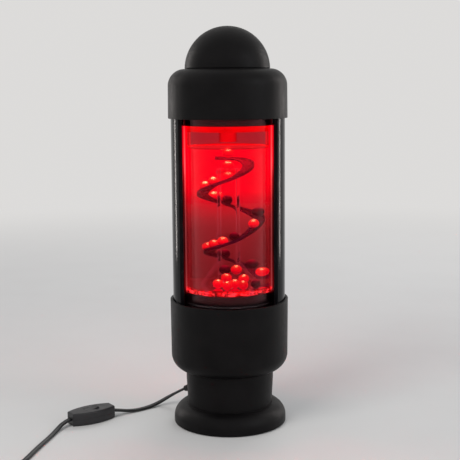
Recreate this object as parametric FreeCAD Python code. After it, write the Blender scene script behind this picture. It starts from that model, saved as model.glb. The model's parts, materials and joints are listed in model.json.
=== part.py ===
import FreeCAD, Part
import math
import os

# A liquid motion lamp. A pump in the base lifts beads up a clear riser in a sealed tank,
# and they roll back down a spiral ramp. A lamp board in the lid lights the liquid from above.
# Millimetres, +Z up, origin at the middle of the foot on the surface that it stands on.
# The front is -Y. The cord leaves the neck at the back left.

V = FreeCAD.Vector
UP = V(0, 0, 1)
CLEAR = 0.1  # the usual gap between parts that are assembled by hand

# ---- driving sizes ----
COLLAR_R = 60.0
COLLAR_WALL = 2.1
SHOULDER_R = 17.0  # rounding of both collars
SHOULDER_CENTRE_R = 43.0
BASE_LIP_R = 60.4
BASE_LIP_Z = 130.0
BASE_SIDE_Z = 73.0  # where the base collar's side meets its rounding
BASE_FLOOR_Z = 56.0
FLOOR_WALL = 3.0

TOP_EDGE_Z = 314.0
TOP_SIDE_Z = 346.0
TOP_SHOULDER_R = 16.7
DOME_R = 42.7
DOME_CENTRE_Z = 362.0
DOME_WALL = 2.5
DOME_RIM_Z = 362.9

FOOT_R = 58.0
FOOT_EDGE_Z = 1.0
FOOT_ROUND = 14.0
FOOT_SIDE_Z = 6.0
FOOT_WALL = 2.5
NECK_LOW_R = 44.0
NECK_LOW_Z = 28.0
NECK_TOP_R = 45.0
NECK_TOP_Z = 47.0

TANK_OUT_R = 48.8
TANK_IN_R = 44.8
SEAT_R = 44.5
SEAT_TOP_Z = 139.6
TANK_LOW_Z = 118.0
TANK_HIGH_Z = 322.0
LID_LOW_Z = 307.0
SEAL_MID_R = 43.35
SEAL_R = 1.15
GROOVE_R = 42.1  # floor of the grooves for the sealing rings
FLANGE_R = 52.6
FLANGE_T = 6.0
WATER_Z = 285.0

FLOOR_LOW_Z = 139.7
FLOOR_TOP_Z = 145.7
FLOOR_R = 44.3
FLOOR_SLOTS = 12

RISER_OUT_R = 8.5
RISER_IN_R = 6.0
RISER_TOP_Z = 264.0
PORT_ANGLES = (30, 150, 270)
CONE_FOOT_R = 22.0
CONE_TOP_Z = 168.0

BEAD_R = 4.7
BEAD_GAP = 0.1
RAMP_WIDTH = 9.0
RAMP_T = 1.2
RIM_T = 1.0
RIM_UP = 0.8  # the rim's height above the track
RIM_DOWN = 2.4
RAMP_START = 104  # degrees from +X, seen from above; it winds clockwise going down
RAMP_END = -684
RAMP_LEAN = 0.0967  # shift in +X for each millimetre down
RAMP_LEAN_Z = 235.3
# Rows of angle, height of the track's upper face and outer radius.
RAMP_ROWS = ((135, 273.5, 22.6), (90, 272.2, 22.6), (45, 270.9, 22.6), (0, 266.1, 22.8),
             (-90, 252.6, 23.2), (-180, 238.3, 23.8), (-225, 232.0, 24.0), (-270, 224.1, 24.5),
             (-315, 216.2, 25.0), (-360, 210.4, 25.5), (-405, 201.8, 25.6), (-450, 191.8, 25.5),
             (-495, 185.0, 25.3), (-540, 179.2, 25.1), (-585, 172.9, 24.8), (-630, 164.2, 24.5),
             (-655, 156.3, 24.5), (-675, 150.6, 24.5), (-700, 145.4, 24.5))

STRUT_OUT_R = 57.4
STRUT_IN_R = 52.9
STRUT_HALF = 32.0  # half its angle round the lamp
STRUT_LOW_Z = 96.0
STRUT_HIGH_Z = 344.0

CORD_W = 5.4
CORD_T = 2.8
GLAND_ANGLE = 140.0
GLAND_Z = 27.0
GLAND_R = 44.2
RELIEF_DROP = 18.0  # degrees below level
RELIEF_LONG = 20.0

SWITCH_AT = V(-145.0, -3.0, 0)
SWITCH_HEADING = 215.5
SWITCH_LONG = 49.0
SWITCH_MID_W = 24.0
SWITCH_END_W = 12.0
SWITCH_H = 13.5
ROCKER_TILT = 8.0

COIL_AT = V(-162.0, -190.0, 0)
COIL_MEAN_R = 33.1
COIL_HALF_W = 11.2
COIL_H = 6.0
PLUG_AT = V(-103.0, -218.0, 6.6)  # the cord's end of the plug body

# From the strain relief to the switch.
LAMP_SIDE_ROUTE = [(-48.4, 40.6, 20.8), (-56.5, 46.0, 15.5), (-67.0, 48.5, 9.0), (-78.0, 44.5, 3.4),
                   (-88.0, 35.5, 1.6), (-99.0, 26.5, 1.5), (-109.0, 20.4, 2.6), (-118.0, 15.5, 5.0),
                   (-125.0, 11.3, 6.7)]
# From the switch to the coil, and from the coil to the plug.
PLUG_SIDE_ROUTE = [(-165.0, -17.3, 6.7), (-171.2, -24.0, 5.0), (-175.6, -36.0, 2.2),
                   (-179.0, -54.0, 1.5), (-183.4, -73.0, 1.5), (-187.4, -92.0, 1.5),
                   (-191.0, -113.0, 1.5), (-196.6, -136.0, 1.5), (-201.8, -160.0, 1.5),
                   (-203.5, -190.0, 1.5)]
TAIL_ROUTE = [(-162.0, -231.5, 4.4), (-148.0, -231.2, 3.2), (-133.0, -228.6, 2.0),
              (-118.0, -222.6, 4.2), (-103.0, -218.0, 6.6)]


# ---- small tools ----
def disc(r, low, high, x=0.0, y=0.0):
    return Part.makeCylinder(r, high - low, V(x, y, low))


def ring(r_in, r_out, low, high, x=0.0, y=0.0):
    return disc(r_out, low, high, x, y).cut(disc(r_in, low - 1, high + 1, x, y))


def block(x0, x1, y0, y1, z0, z1):
    return Part.makeBox(x1 - x0, y1 - y0, z1 - z0, V(x0, y0, z0))


def turned(shape, angle, centre=V(0, 0, 0), axis=UP):
    copy = shape.copy()
    copy.rotate(centre, axis, angle)
    return copy


def at(r, angle, z=0.0):
    a = math.radians(angle)
    return V(r * math.cos(a), r * math.sin(a), z)


def fused(shapes):
    first, rest = shapes[0], shapes[1:]
    return first.fuse(rest).removeSplitter() if rest else first


def arc(centre, radius, start, end):
    """The middle and end of an arc in the (r, z) plane, as a step of spun()."""
    middle = math.radians((start + end) / 2)
    last = math.radians(end)
    return ((centre[0] + radius * math.cos(middle), centre[1] + radius * math.sin(middle)),
            (centre[0] + radius * math.cos(last), centre[1] + radius * math.sin(last)))


def spun(start, *steps):
    """A solid turned about Z from a closed outline of (r, z) points and arc() steps."""
    edges, here = [], V(start[0], 0, start[1])
    for step in steps + (start,):
        if isinstance(step[0], tuple):
            middle, end = (V(p[0], 0, p[1]) for p in step)
            edges.append(Part.Arc(here, middle, end).toShape())
        else:
            end = V(step[0], 0, step[1])
            if here.distanceToPoint(end) > 1e-7:
                edges.append(Part.LineSegment(here, end).toShape())
        here = end
    return Part.Face(Part.Wire(edges)).revolve(V(0, 0, 0), UP, 360)


def screw(r, length, head_r, head_h, place, axis):
    """A pan-head screw with its head's underside at place and its shank along axis."""
    shank = Part.makeCylinder(r, length, place, axis)
    head = Part.makeCylinder(head_r, head_h, place, axis * -1)
    top = place - axis * (head_h + 0.01)
    slot = Part.makeCylinder(head_r * 0.45, head_h * 0.55 + 0.01, top, axis)
    return shank.fuse(head).cut(slot)


def facing(shape, place, heading, drop=0.0):
    """Moves a shape made along +X from the origin to place, pointing along heading."""
    copy = shape.copy()
    copy.rotate(V(0, 0, 0), V(0, 1, 0), drop)
    copy.rotate(V(0, 0, 0), UP, heading)
    copy.translate(place)
    return copy


def route_path(points, share=0.45):
    """Straight runs joined by tangent arcs, and the smallest arc radius."""
    at_points = [V(*p) for p in points]
    edges, here, radii = [], at_points[0], []
    for before, corner, after in zip(at_points, at_points[1:], at_points[2:]):
        into = (corner - before).normalize()
        out = (after - corner).normalize()
        turn = into.getAngle(out)
        shorter = min((corner - before).Length, (after - corner).Length)
        setback = share * shorter
        radius = setback / math.tan(turn / 2)
        start, end = corner - into * setback, corner + out * setback
        bisector = (out - into).normalize()
        centre = corner + bisector * (radius / math.cos(turn / 2))
        edges.append(Part.LineSegment(here, start).toShape())
        edges.append(Part.Arc(start, centre - bisector * radius, end).toShape())
        radii.append(radius)
        here = end
    edges.append(Part.LineSegment(here, at_points[-1]).toShape())
    return Part.Wire(edges), min(radii)


def round_lead(points, r):
    """A round wire along a route."""
    wire, _ = route_path(points)
    start = V(*points[0])
    along = V(*points[1]) - start
    section = Part.Wire(Part.makeCircle(r, start, along))
    return wire.makePipeShell([section], True, False)


def flat_section(start, along):
    """The cord's section: two cores side by side, flat on the ground and upright all the way."""
    side = UP.cross(along).normalize()
    high = UP * (CORD_T / 2)
    flat = side * (CORD_W / 2 - CORD_T / 2)
    edge = side * (CORD_W / 2)
    a, b = start + flat + high, start + flat - high
    c, d = start - flat - high, start - flat + high
    return Part.Wire([Part.Arc(a, start + edge, b).toShape(), Part.LineSegment(b, c).toShape(),
                      Part.Arc(c, start - edge, d).toShape(), Part.LineSegment(d, a).toShape()])


def flat_cord(name, points):
    wire, radius = route_path(points)
    start = V(*points[0])
    along = V(*points[1]) - start
    along = V(along.x, along.y, 0).normalize()
    shell = Part.BRepOffsetAPI.MakePipeShell(wire)
    shell.setBiNormalMode(UP)
    shell.add(flat_section(start, along))
    shell.build()
    shell.makeSolid()
    solid = shell.shape()
    area = (CORD_W - CORD_T) * CORD_T + math.pi * (CORD_T / 2) ** 2
    print("%s: %.1f mm long, smallest arc %.1f mm, volume %.0f against %.0f" % (
        name, wire.Length, radius, solid.Volume, area * wire.Length))
    return solid


# ---- foot and base ----
BOSS_R = 38.6  # circle of the base plate's screws
NECK_SCREW_R = 36.5
PILLAR_R = 52.5  # circle of the pillars that carry the tank
PILLAR_ANGLES = (60, 120, 240, 300)
BOSS_ANGLES = (0, 90, 180, 270)
CROSS_ANGLES = (45, 135, 225, 315)


def foot_shell():
    inner_round = FOOT_ROUND - FOOT_WALL
    flange_low = BASE_FLOOR_Z - CLEAR - FLOOR_WALL
    shell = spun(
        (FOOT_R, FOOT_EDGE_Z), (FOOT_R, FOOT_SIDE_Z),
        arc((NECK_LOW_R, FOOT_SIDE_Z), FOOT_ROUND, 0, 90),
        (NECK_LOW_R, NECK_LOW_Z), (NECK_TOP_R, NECK_TOP_Z), (NECK_TOP_R, BASE_FLOOR_Z - CLEAR),
        (30.0, BASE_FLOOR_Z - CLEAR), (30.0, flange_low),
        (NECK_TOP_R - FOOT_WALL, flange_low), (NECK_TOP_R - FOOT_WALL, NECK_TOP_Z),
        (NECK_LOW_R - FOOT_WALL, NECK_LOW_Z), (NECK_LOW_R - FOOT_WALL, FOOT_SIDE_Z + inner_round),
        (NECK_LOW_R, FOOT_SIDE_Z + inner_round),
        arc((NECK_LOW_R, FOOT_SIDE_Z), inner_round, 90, 0),
        (FOOT_R - FOOT_WALL, FOOT_EDGE_Z))
    bosses = [disc(3.6, 4.6, 30.0, *at(BOSS_R, a)[:2]) for a in BOSS_ANGLES]
    shell = fused([shell] + bosses)
    for a in BOSS_ANGLES:
        shell = shell.cut(disc(1.25, 4.0, 16.0, *at(BOSS_R, a)[:2]))
    for a in CROSS_ANGLES:
        shell = shell.cut(disc(1.7, flange_low - 1, BASE_FLOOR_Z + 1, *at(NECK_SCREW_R, a)[:2]))
    gland_hole = Part.makeCylinder(5.1, 14, at(GLAND_R - 8, GLAND_ANGLE, GLAND_Z), at(1, GLAND_ANGLE))
    return shell.cut(gland_hole)


def base_plate():
    plate = disc(55.0, 2.6, 4.5)
    for a in BOSS_ANGLES:
        plate = plate.cut(disc(1.7, 2, 5, *at(BOSS_R, a)[:2]))
    return plate


def foot_screws():
    """Four through the base plate, and four up through the neck into the base collar."""
    neck_low = BASE_FLOOR_Z - CLEAR - FLOOR_WALL
    return ([screw(1.2, 9.0, 2.8, 1.4, at(BOSS_R, a, 2.6), UP) for a in BOSS_ANGLES]
            + [screw(1.2, 11.0, 2.9, 1.6, at(NECK_SCREW_R, a, neck_low), UP) for a in CROSS_ANGLES])


def base_collar():
    inner_r = COLLAR_R - COLLAR_WALL + 0.2
    inner_round = SHOULDER_R - COLLAR_WALL
    floor_top = BASE_FLOOR_Z + FLOOR_WALL
    centre = (SHOULDER_CENTRE_R, BASE_SIDE_Z)
    shell = spun(
        (27.0, BASE_FLOOR_Z), (SHOULDER_CENTRE_R, BASE_FLOOR_Z),
        arc(centre, SHOULDER_R, -90, 0),
        (BASE_LIP_R, BASE_LIP_Z), (inner_r, BASE_LIP_Z), (inner_r - 0.2, BASE_SIDE_Z),
        arc(centre, inner_round, 0, -70),
        (SHOULDER_CENTRE_R, floor_top), (27.0, floor_top))
    pillars = [disc(4.6, 58.0, 111.9, *at(PILLAR_R, a)[:2]) for a in PILLAR_ANGLES]
    room = spun((0, 57.5), (SHOULDER_CENTRE_R, BASE_FLOOR_Z + 1), arc(centre, SHOULDER_R - 1, -90, 0),
                (COLLAR_R - 1, 120), (0, 120))
    pillars = [p.common(room) for p in pillars]
    bosses = [disc(3.6, 57.5, 66.0, *at(NECK_SCREW_R, a)[:2]) for a in CROSS_ANGLES]
    posts = [disc(2.4, 58.0, 68.0, x, y) for x in (-14, 14) for y in (22, 37)]
    shell = fused([shell] + pillars + bosses + posts)
    for a in CROSS_ANGLES:
        shell = shell.cut(disc(1.25, 55, 65, *at(NECK_SCREW_R, a)[:2]))
    for a in PILLAR_ANGLES:
        shell = shell.cut(disc(1.25, 98, 113, *at(PILLAR_R, a)[:2]))
    return shell


def strut_wedge(half, middle, low, high):
    """A wedge from the axis outwards, as wide as a strut, half degrees each side of middle."""
    far, lean = 90.0, math.radians(half)
    corners = [V(0, 0, low - 1), V(far * math.cos(lean), -far * math.sin(lean), low - 1),
               V(far, 0, low - 1), V(far * math.cos(lean), far * math.sin(lean), low - 1)]
    wedge = Part.Face(Part.makePolygon(corners + corners[:1])).extrude(V(0, 0, high - low + 2))
    return turned(wedge, middle)


# ---- tank ----
SHROUD_R = 57.6  # closes the gap between the tank and the collars
CAVITY_R = 17.0
CAVITY_Z = 126.0
RECESS_TOP_Z = 122.5
BRACKET_SCREW_R = 23.2
BRACKET_ANGLES = (90, 210, 330)
STRUT_SCREW_ANGLES = (-18, 18, 162, 198)


def flange_holes(body, z):
    for a in STRUT_SCREW_ANGLES:
        body = body.cut(Part.makeCylinder(1.25, 9, at(FLANGE_R + 0.5, a, z), at(-1, a)))
    return body


def without_struts(body, low, high):
    """Cuts the two notches in which the side struts stand."""
    for middle in (0, 180):
        body = body.cut(strut_wedge(STRUT_HALF + 0.6, middle, low, high).cut(
            disc(STRUT_IN_R - 0.15, low - 1, high + 1)))
    return body


def tank_seat():
    """The black plug under the tank, with the pump cavity in its top and the motor recess below."""
    flange_low = TANK_LOW_Z - FLANGE_T
    shroud_low, shroud_high = 122.4, 125.0
    channel_r = TANK_OUT_R + 0.3
    parts = [disc(FLANGE_R, flange_low, TANK_LOW_Z), disc(SEAT_R, flange_low, SEAT_TOP_Z),
             ring(channel_r, FLANGE_R, TANK_LOW_Z, shroud_high),
             without_struts(ring(channel_r, SHROUD_R, shroud_low, shroud_high), shroud_low, shroud_high)]
    parts += [disc(5.2, flange_low, TANK_LOW_Z - 1, *at(PILLAR_R, a)[:2]) for a in PILLAR_ANGLES]
    seat = fused(parts)
    seat = seat.cut(disc(20.0, flange_low - 1, RECESS_TOP_Z))
    seat = seat.cut(disc(CAVITY_R, CAVITY_Z, SEAT_TOP_Z + 1))
    seat = seat.cut(ring(36.5, 42.3, 134.6, SEAT_TOP_Z + 1))
    for a in PORT_ANGLES:
        seat = seat.cut(turned(block(0, 40, -5, 5, 133.6, SEAT_TOP_Z + 1), a + 60))
    seat = seat.cut(ring(GROOVE_R, SEAT_R + 1, 127.1, 130.1))
    seat = seat.cut(disc(1.55, 123.8, CAVITY_Z + 1))
    for a in PILLAR_ANGLES:
        seat = seat.cut(disc(1.7, flange_low - 1, TANK_LOW_Z, *at(PILLAR_R, a)[:2]))
        seat = seat.cut(disc(3.1, TANK_LOW_Z - 1, shroud_high + 1, *at(PILLAR_R, a)[:2]))
    for a in BRACKET_ANGLES:
        seat = seat.cut(disc(1.25, flange_low - 1, 120, *at(BRACKET_SCREW_R, a)[:2]))
    return flange_holes(seat, TANK_LOW_Z - FLANGE_T / 2)


def seat_screws():
    top = TANK_LOW_Z - 1
    return [screw(1.2, 16.0, 2.8, 1.8, at(PILLAR_R, a, top), V(0, 0, -1)) for a in PILLAR_ANGLES]


def tank_seals():
    return [Part.makeTorus(SEAL_MID_R, SEAL_R, V(0, 0, z)) for z in (128.6, 314.9)]


def floor_disc():
    plate = disc(FLOOR_R, FLOOR_LOW_Z, FLOOR_TOP_Z)
    plate = plate.cut(disc(5.0, FLOOR_LOW_Z - 1, FLOOR_TOP_Z + 1))
    slot = block(38.5, 41.9, -5.5, 5.5, FLOOR_LOW_Z - 1, FLOOR_TOP_Z + 1)
    for i in range(FLOOR_SLOTS):
        plate = plate.cut(turned(slot, 15 + i * 360 / FLOOR_SLOTS))
    return plate


def tank_tube():
    return ring(TANK_IN_R, TANK_OUT_R, TANK_LOW_Z + CLEAR, TANK_HIGH_Z - CLEAR)


def port(width, height, reach):
    low = FLOOR_TOP_Z
    half = width / 2
    opening = block(0, reach, -half, half, low - 1, low + height - half)
    arch = Part.makeCylinder(half, reach, V(0, 0, low + height - half), V(1, 0, 0))
    return opening.fuse(arch)


def riser_tube():
    tube = ring(RISER_IN_R, RISER_OUT_R, FLOOR_TOP_Z + CLEAR, RISER_TOP_Z)
    for a in PORT_ANGLES:
        tube = tube.cut(turned(port(10.4, 11.5, 12), a))
    return tube


def bead_guide():
    low, wall = FLOOR_TOP_Z + CLEAR, 1.5
    neck = RISER_OUT_R + CLEAR
    cone = spun((CONE_FOOT_R - wall, low), (CONE_FOOT_R, low), (neck + 1.2, CONE_TOP_Z),
                (neck, CONE_TOP_Z), (neck, CONE_TOP_Z - 2.2))
    for a in PORT_ANGLES:
        cone = cone.cut(turned(port(11.0, 11.0, 30), a))
    return cone


def jet_nozzle():
    return spun((6.0, 137.6), (16.8, 137.6), (16.8, 139.5), (4.9, 139.5), (4.9, 147.5), (4.2, 149.0),
                (3.0, 149.0), (3.0, 141.0))


def impeller_pin():
    return disc(1.5, 123.8, 137.3)


def impeller():
    hub = [disc(14.6, 126.6, 130.8), disc(3.4, 130.8, 137.0)]
    blade = block(3.0, 15.0, -0.7, 0.7, -3.2, 3.2)
    blade.rotate(V(0, 0, 0), V(1, 0, 0), 52)
    blade.translate(V(0, 0, 133.0))
    body = fused(hub + [turned(blade, a) for a in range(0, 360, 60)])
    body = body.cut(ring(7.0, 13.0, 126.0, 129.6))
    return body.cut(disc(1.55, 126, 138))


def impeller_magnet():
    return ring(7.05, 12.95, 126.7, 129.5)


# ---- ramp ----
def eased(rows, angle, column):
    """A value between the two middle rows of four, on a smooth curve through them."""
    angles = [row[0] for row in rows]
    values = [row[column] for row in rows]
    step = angles[2] - angles[1]
    t = (angle - angles[1]) / step
    slope_in = (values[2] - values[0]) / (angles[2] - angles[0])
    slope_out = (values[3] - values[1]) / (angles[3] - angles[1])
    return ((2 * t**3 - 3 * t**2 + 1) * values[1] + (t**3 - 2 * t**2 + t) * step * slope_in
            + (3 * t**2 - 2 * t**3) * values[2] + (t**3 - t**2) * step * slope_out)


def ramp_at(angle):
    """Height of the track's upper face and its outer radius."""
    rows, last = RAMP_ROWS, len(RAMP_ROWS) - 1
    for i in range(last):
        if rows[i][0] >= angle >= rows[i + 1][0]:
            near = (rows[max(i - 1, 0)], rows[i], rows[i + 1], rows[min(i + 2, last)])
            return eased(near, angle, 1), eased(near, angle, 2)
    raise ValueError("angle %s is off the ramp" % angle)


def ramp_point(angle, inset, lift=0.0):
    """A point of the ribbon, inset from its outer edge."""
    z, outer = ramp_at(angle)
    place = at(outer - inset, angle, z + lift)
    place.x += RAMP_LEAN * (RAMP_LEAN_Z - z)
    return place


def spiral_ramp():
    """A ribbon with a rim along its outer edge: ruled faces between eight edge curves."""
    section = [(RAMP_WIDTH, 0.0), (RIM_T, 0.0), (RIM_T, RIM_UP), (0.0, RIM_UP),
               (0.0, -RIM_DOWN), (RIM_T, -RIM_DOWN), (RIM_T, -RAMP_T), (RAMP_WIDTH, -RAMP_T)]
    steps = round((RAMP_START - RAMP_END) / 20)
    angles = [RAMP_START + (RAMP_END - RAMP_START) * i / steps for i in range(steps + 1)]
    edges = []
    for inset, lift in section:
        curve = Part.BSplineCurve()
        curve.interpolate([ramp_point(a, inset, lift) for a in angles])
        edges.append(curve.toShape())
    faces = [Part.makeRuledSurface(a, b) for a, b in zip(edges, edges[1:] + edges[:1])]
    for a in (RAMP_START, RAMP_END):
        corners = [ramp_point(a, inset, lift) for inset, lift in section]
        faces.append(Part.Face(Part.makePolygon(corners + corners[:1])))
    shell = Part.Shell(faces)
    shell.sewShape()
    solid = Part.Solid(shell)
    if solid.Volume < 0:
        solid.reverse()
    return solid


BRACKET_TURNS = (-12, -230, -410, -560)


def ramp_brackets():
    """Clear arms from the riser to just under the ribbon."""
    arms = []
    for a in BRACKET_TURNS:
        place = ramp_point(a, RAMP_WIDTH / 2)
        top = place.z - RAMP_T - 1.4
        reach = math.hypot(place.x, place.y)
        heading = math.degrees(math.atan2(place.y, place.x))
        arm = block(RISER_OUT_R + 0.6, reach, -1.0, 1.0, top - 1.6, top)
        clip = ring(RISER_OUT_R + CLEAR, RISER_OUT_R + 0.8, top - 3.0, top)
        arms.append(clip.fuse(turned(arm, heading)).removeSplitter())
    return arms


# ---- beads ----
RAMP_BEADS_BRIGHT = (-125, -155, -239.5, -395, -476.5, -502.5, -537, -676)
RAMP_BEADS_DARK = (-264, -333, -448.5, -602, -652)
FLOOR_BEADS_BRIGHT = ((-9.6, -24.0), (-1.7, -37.5), (5.0, -24.4), (13.2, -34.2))
FLOOR_BEADS_DARK = ((24.5, -28.0),)
UPPER_BEADS_BRIGHT = ((-2.3, -23.4, 156.4), (13.0, -25.2, 155.4), (6.2, -17.0, 163.7))
UPPER_BEADS_DARK = ((-3.6, -17.4, 163.6),)
COLUMN_Z = (279.6, 267.2, 256.4)


def bead(place):
    return Part.makeSphere(BEAD_R, place)


def bead_on_ramp(angle):
    """A bead that rests on the sloping ribbon, against the top of its rim."""
    inset = RIM_T + math.sqrt(BEAD_R**2 - (BEAD_R - RIM_UP) ** 2) + BEAD_GAP
    step = 4
    rise = ramp_at(angle + step)[0] - ramp_at(angle - step)[0]
    run = 2 * math.radians(step) * (ramp_at(angle)[1] - inset)
    lift = BEAD_R * math.hypot(1, rise / run) + 2 * BEAD_GAP
    return bead(ramp_point(angle, inset, lift))


def bead_on_floor(x, y):
    return bead(V(x, y, FLOOR_TOP_Z + BEAD_R + BEAD_GAP))


def beads(on_ramp, on_floor, above):
    return ([bead_on_ramp(a) for a in on_ramp] + [bead_on_floor(*p) for p in on_floor]
            + [bead(V(*p)) for p in above])


def bright_beads():
    return beads(RAMP_BEADS_BRIGHT, FLOOR_BEADS_BRIGHT, UPPER_BEADS_BRIGHT)


def dark_beads():
    return beads(RAMP_BEADS_DARK, FLOOR_BEADS_DARK, UPPER_BEADS_DARK)


def lifted_beads():
    return [bead(V(0, 0, z)) for z in COLUMN_Z]


def liquid():
    """The liquid near the wall. The middle is left out, where the beads and the ramp are."""
    wall_r, low = TANK_IN_R - CLEAR, FLOOR_TOP_Z + CLEAR
    foot_r, core_r = 43.2, 33.0
    return spun((foot_r, low), (wall_r, low), (wall_r, WATER_Z), (core_r, WATER_Z),
                (core_r, 172.0), (foot_r, 160.0))


# ---- motor ----
MOTOR_LOW_Z = 84.0
MOTOR_TOP_Z = 106.0


def motor_can():
    can = disc(12.0, MOTOR_LOW_Z, MOTOR_TOP_Z).cut(disc(11.0, MOTOR_LOW_Z - 1, MOTOR_TOP_Z - 1.2))
    can = can.fuse(disc(4.0, MOTOR_TOP_Z - 2.4, MOTOR_TOP_Z + 2)).cut(disc(1.05, 100, 110))
    for x in (-7, 7):
        can = can.cut(disc(0.85, 100, 110, x, 0))
    return can


def motor_end_cap():
    cap = fused([disc(10.9, MOTOR_LOW_Z, MOTOR_LOW_Z + 2.4), disc(3.6, MOTOR_LOW_Z - 1.6, MOTOR_LOW_Z)])
    return cap.cut(disc(1.05, MOTOR_LOW_Z, MOTOR_LOW_Z + 5))


def armature():
    core = disc(8.6, MOTOR_LOW_Z + 5, MOTOR_TOP_Z - 5)
    for i in range(5):
        slot = block(3.0, 9.0, -0.9, 0.9, MOTOR_LOW_Z + 4, MOTOR_TOP_Z - 4)
        core = core.cut(turned(slot, i * 72))
    return core.cut(disc(1.0, 80, 110))


def motor_shaft():
    return disc(1.0, MOTOR_LOW_Z + 0.4, 119.5)


def drive_magnet():
    carrier = fused([disc(15.0, 115.5, 120.5), disc(4.0, 113.8, 115.5)])
    return carrier.cut(disc(1.0, 112, 119.5))


def motor_bracket():
    plate = disc(27.0, 108.2, 111.9).cut(disc(4.2, 107, 113))
    for x in (-7, 7):
        plate = plate.cut(disc(1.0, 107, 113, x, 0))
    for a in BRACKET_ANGLES:
        plate = plate.cut(disc(1.5, 107, 113, *at(BRACKET_SCREW_R, a)[:2]))
    return plate.fuse(ring(4.8, 12.0, MOTOR_TOP_Z + 0.1, 108.2).cut(
        disc(1.0, 105, 110, -7, 0)).cut(disc(1.0, 105, 110, 7, 0)))


def motor_screws():
    fixings = [screw(1.2, 10.5, 2.4, 1.4, at(BRACKET_SCREW_R, a, 108.2), UP) for a in BRACKET_ANGLES]
    return fixings + [screw(0.8, 7.0, 1.7, 1.0, V(x, 0, 111.9), V(0, 0, -1)) for x in (-7, 7)]


# ---- electrics in the base ----
def supply_board():
    board = block(-18, 18, 18, 41, 68.0, 69.6)
    return board.common(disc(50, 60, 80))


def board_components():
    top = 69.7
    return [disc(4.0, top, top + 9, -11, 24), disc(2.6, top, top + 7, -11, 34),
            block(-4, 8, 22, 31, top, top + 8), block(11, 16, 21, 27, top, top + 4),
            block(-3, 5, 33.5, 38, top, top + 2.2)]


def terminal_block():
    body = block(-12, 12, -43, -31, 59.1, 69.0)
    for x in (-8, 0, 8):
        body = body.cut(disc(1.8, 65, 70, x, -37))
        body = body.cut(Part.makeCylinder(1.6, 8, V(x, -30, 63), V(0, -1, 0)))
    return body


def supply_lead():
    """From the gland up into the base, and to the terminal block."""
    start = at(GLAND_R - 6.5, GLAND_ANGLE, GLAND_Z)
    return round_lead([tuple(start), (-20.0, 17.5, 30.0), (-16.5, 14.0, 44.0), (-16.0, 6.0, 60.0),
                       (-12.0, -10.0, 66.0), (-8.0, -22.0, 63.2), (-8.0, -30.0, 63.0)], 1.3)


def hook_up_leads():
    to_board = round_lead([(0, -30.0, 63.0), (0, -20.0, 64.5), (1.5, -6.0, 68.0), (2.0, 6.0, 72.0),
                           (2.0, 17.0, 74.5), (2.0, 21.9, 74.5)], 0.8)
    to_motor = [round_lead([(x, 21.9, 76.0), (x, 15.0, 76.5), (x * 1.1, 9.0, 77.5),
                            (x * 1.2, 7.2, 80.5), (x * 1.2, 7.2, 84.0)], 0.7) for x in (-3.6, 7.0)]
    return [to_board] + to_motor


LEAD_R = 54.2  # runs up the groove in the left strut


def lamp_lead():
    """From the supply board up the left strut and over the lid to the lamp board."""
    return round_lead([(-16.2, 27.0, 71.0), (-24.0, 22.0, 71.6), (-38.0, 12.0, 72.5),
                       (-50.0, 3.5, 76.0), (-LEAD_R, 0, 88.0), (-LEAD_R, 0, 106.0), (-LEAD_R, 0.05, 128.0),
                       (-LEAD_R, 0, 340.0), (-46.0, 0, 350.0), (-28.0, 0, 350.0), (-18.0, 0, 340.0),
                       (-13.0, 0, 324.2)], 1.0)


# ---- struts, lid and top ----
def strut(side):
    """A curved plate with a wire groove down the middle of its inner face."""
    whole = ring(STRUT_IN_R, STRUT_OUT_R, STRUT_LOW_Z, STRUT_HIGH_Z)
    plate = whole.common(strut_wedge(STRUT_HALF, 0, STRUT_LOW_Z, STRUT_HIGH_Z))
    plate = plate.cut(block(STRUT_IN_R - 2, STRUT_IN_R + 2.7, -2.5, 2.5, STRUT_LOW_Z - 1,
                            STRUT_HIGH_Z + 1))
    for a in (-18, 18):
        for z in (TANK_LOW_Z - FLANGE_T / 2, TANK_HIGH_Z + FLANGE_T / 2):
            plate = plate.cut(Part.makeCylinder(1.5, 10, at(STRUT_OUT_R + 1, a, z), at(-1, a)))
            plate = plate.cut(Part.makeCylinder(2.8, 4, at(STRUT_OUT_R + 1.5, a, z), at(-1, a)))
    return turned(plate, 180 if side < 0 else 0)


def strut_screws():
    fixings = []
    for a in STRUT_SCREW_ANGLES:
        for z in (TANK_LOW_Z - FLANGE_T / 2, TANK_HIGH_Z + FLANGE_T / 2):
            fixings.append(screw(1.2, 9.0, 2.5, 1.6, at(STRUT_OUT_R - 2.5, a, z), at(-1, a)))
    return fixings


LID_CUP_R = 40.0
LID_WEB_TOP_Z = 311.0
SHELF_R = 31.0
COLLAR_SCREW_R = 34.4
COLLAR_SCREW_ANGLES = (30, 150, 270)
OPENING_R = 40.1
SHELF_TOP_Z = 360.2
SHELF_LOW_Z = 357.7
PLUG_Y = 24.0
LENS_R = 9.0
GUIDE_LOW_Z = 301.4
GUIDE_TIP_Z = 290.0
GUIDE_HIGH_Z = 317.5
BOARD_POST_R = 13.6


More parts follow.
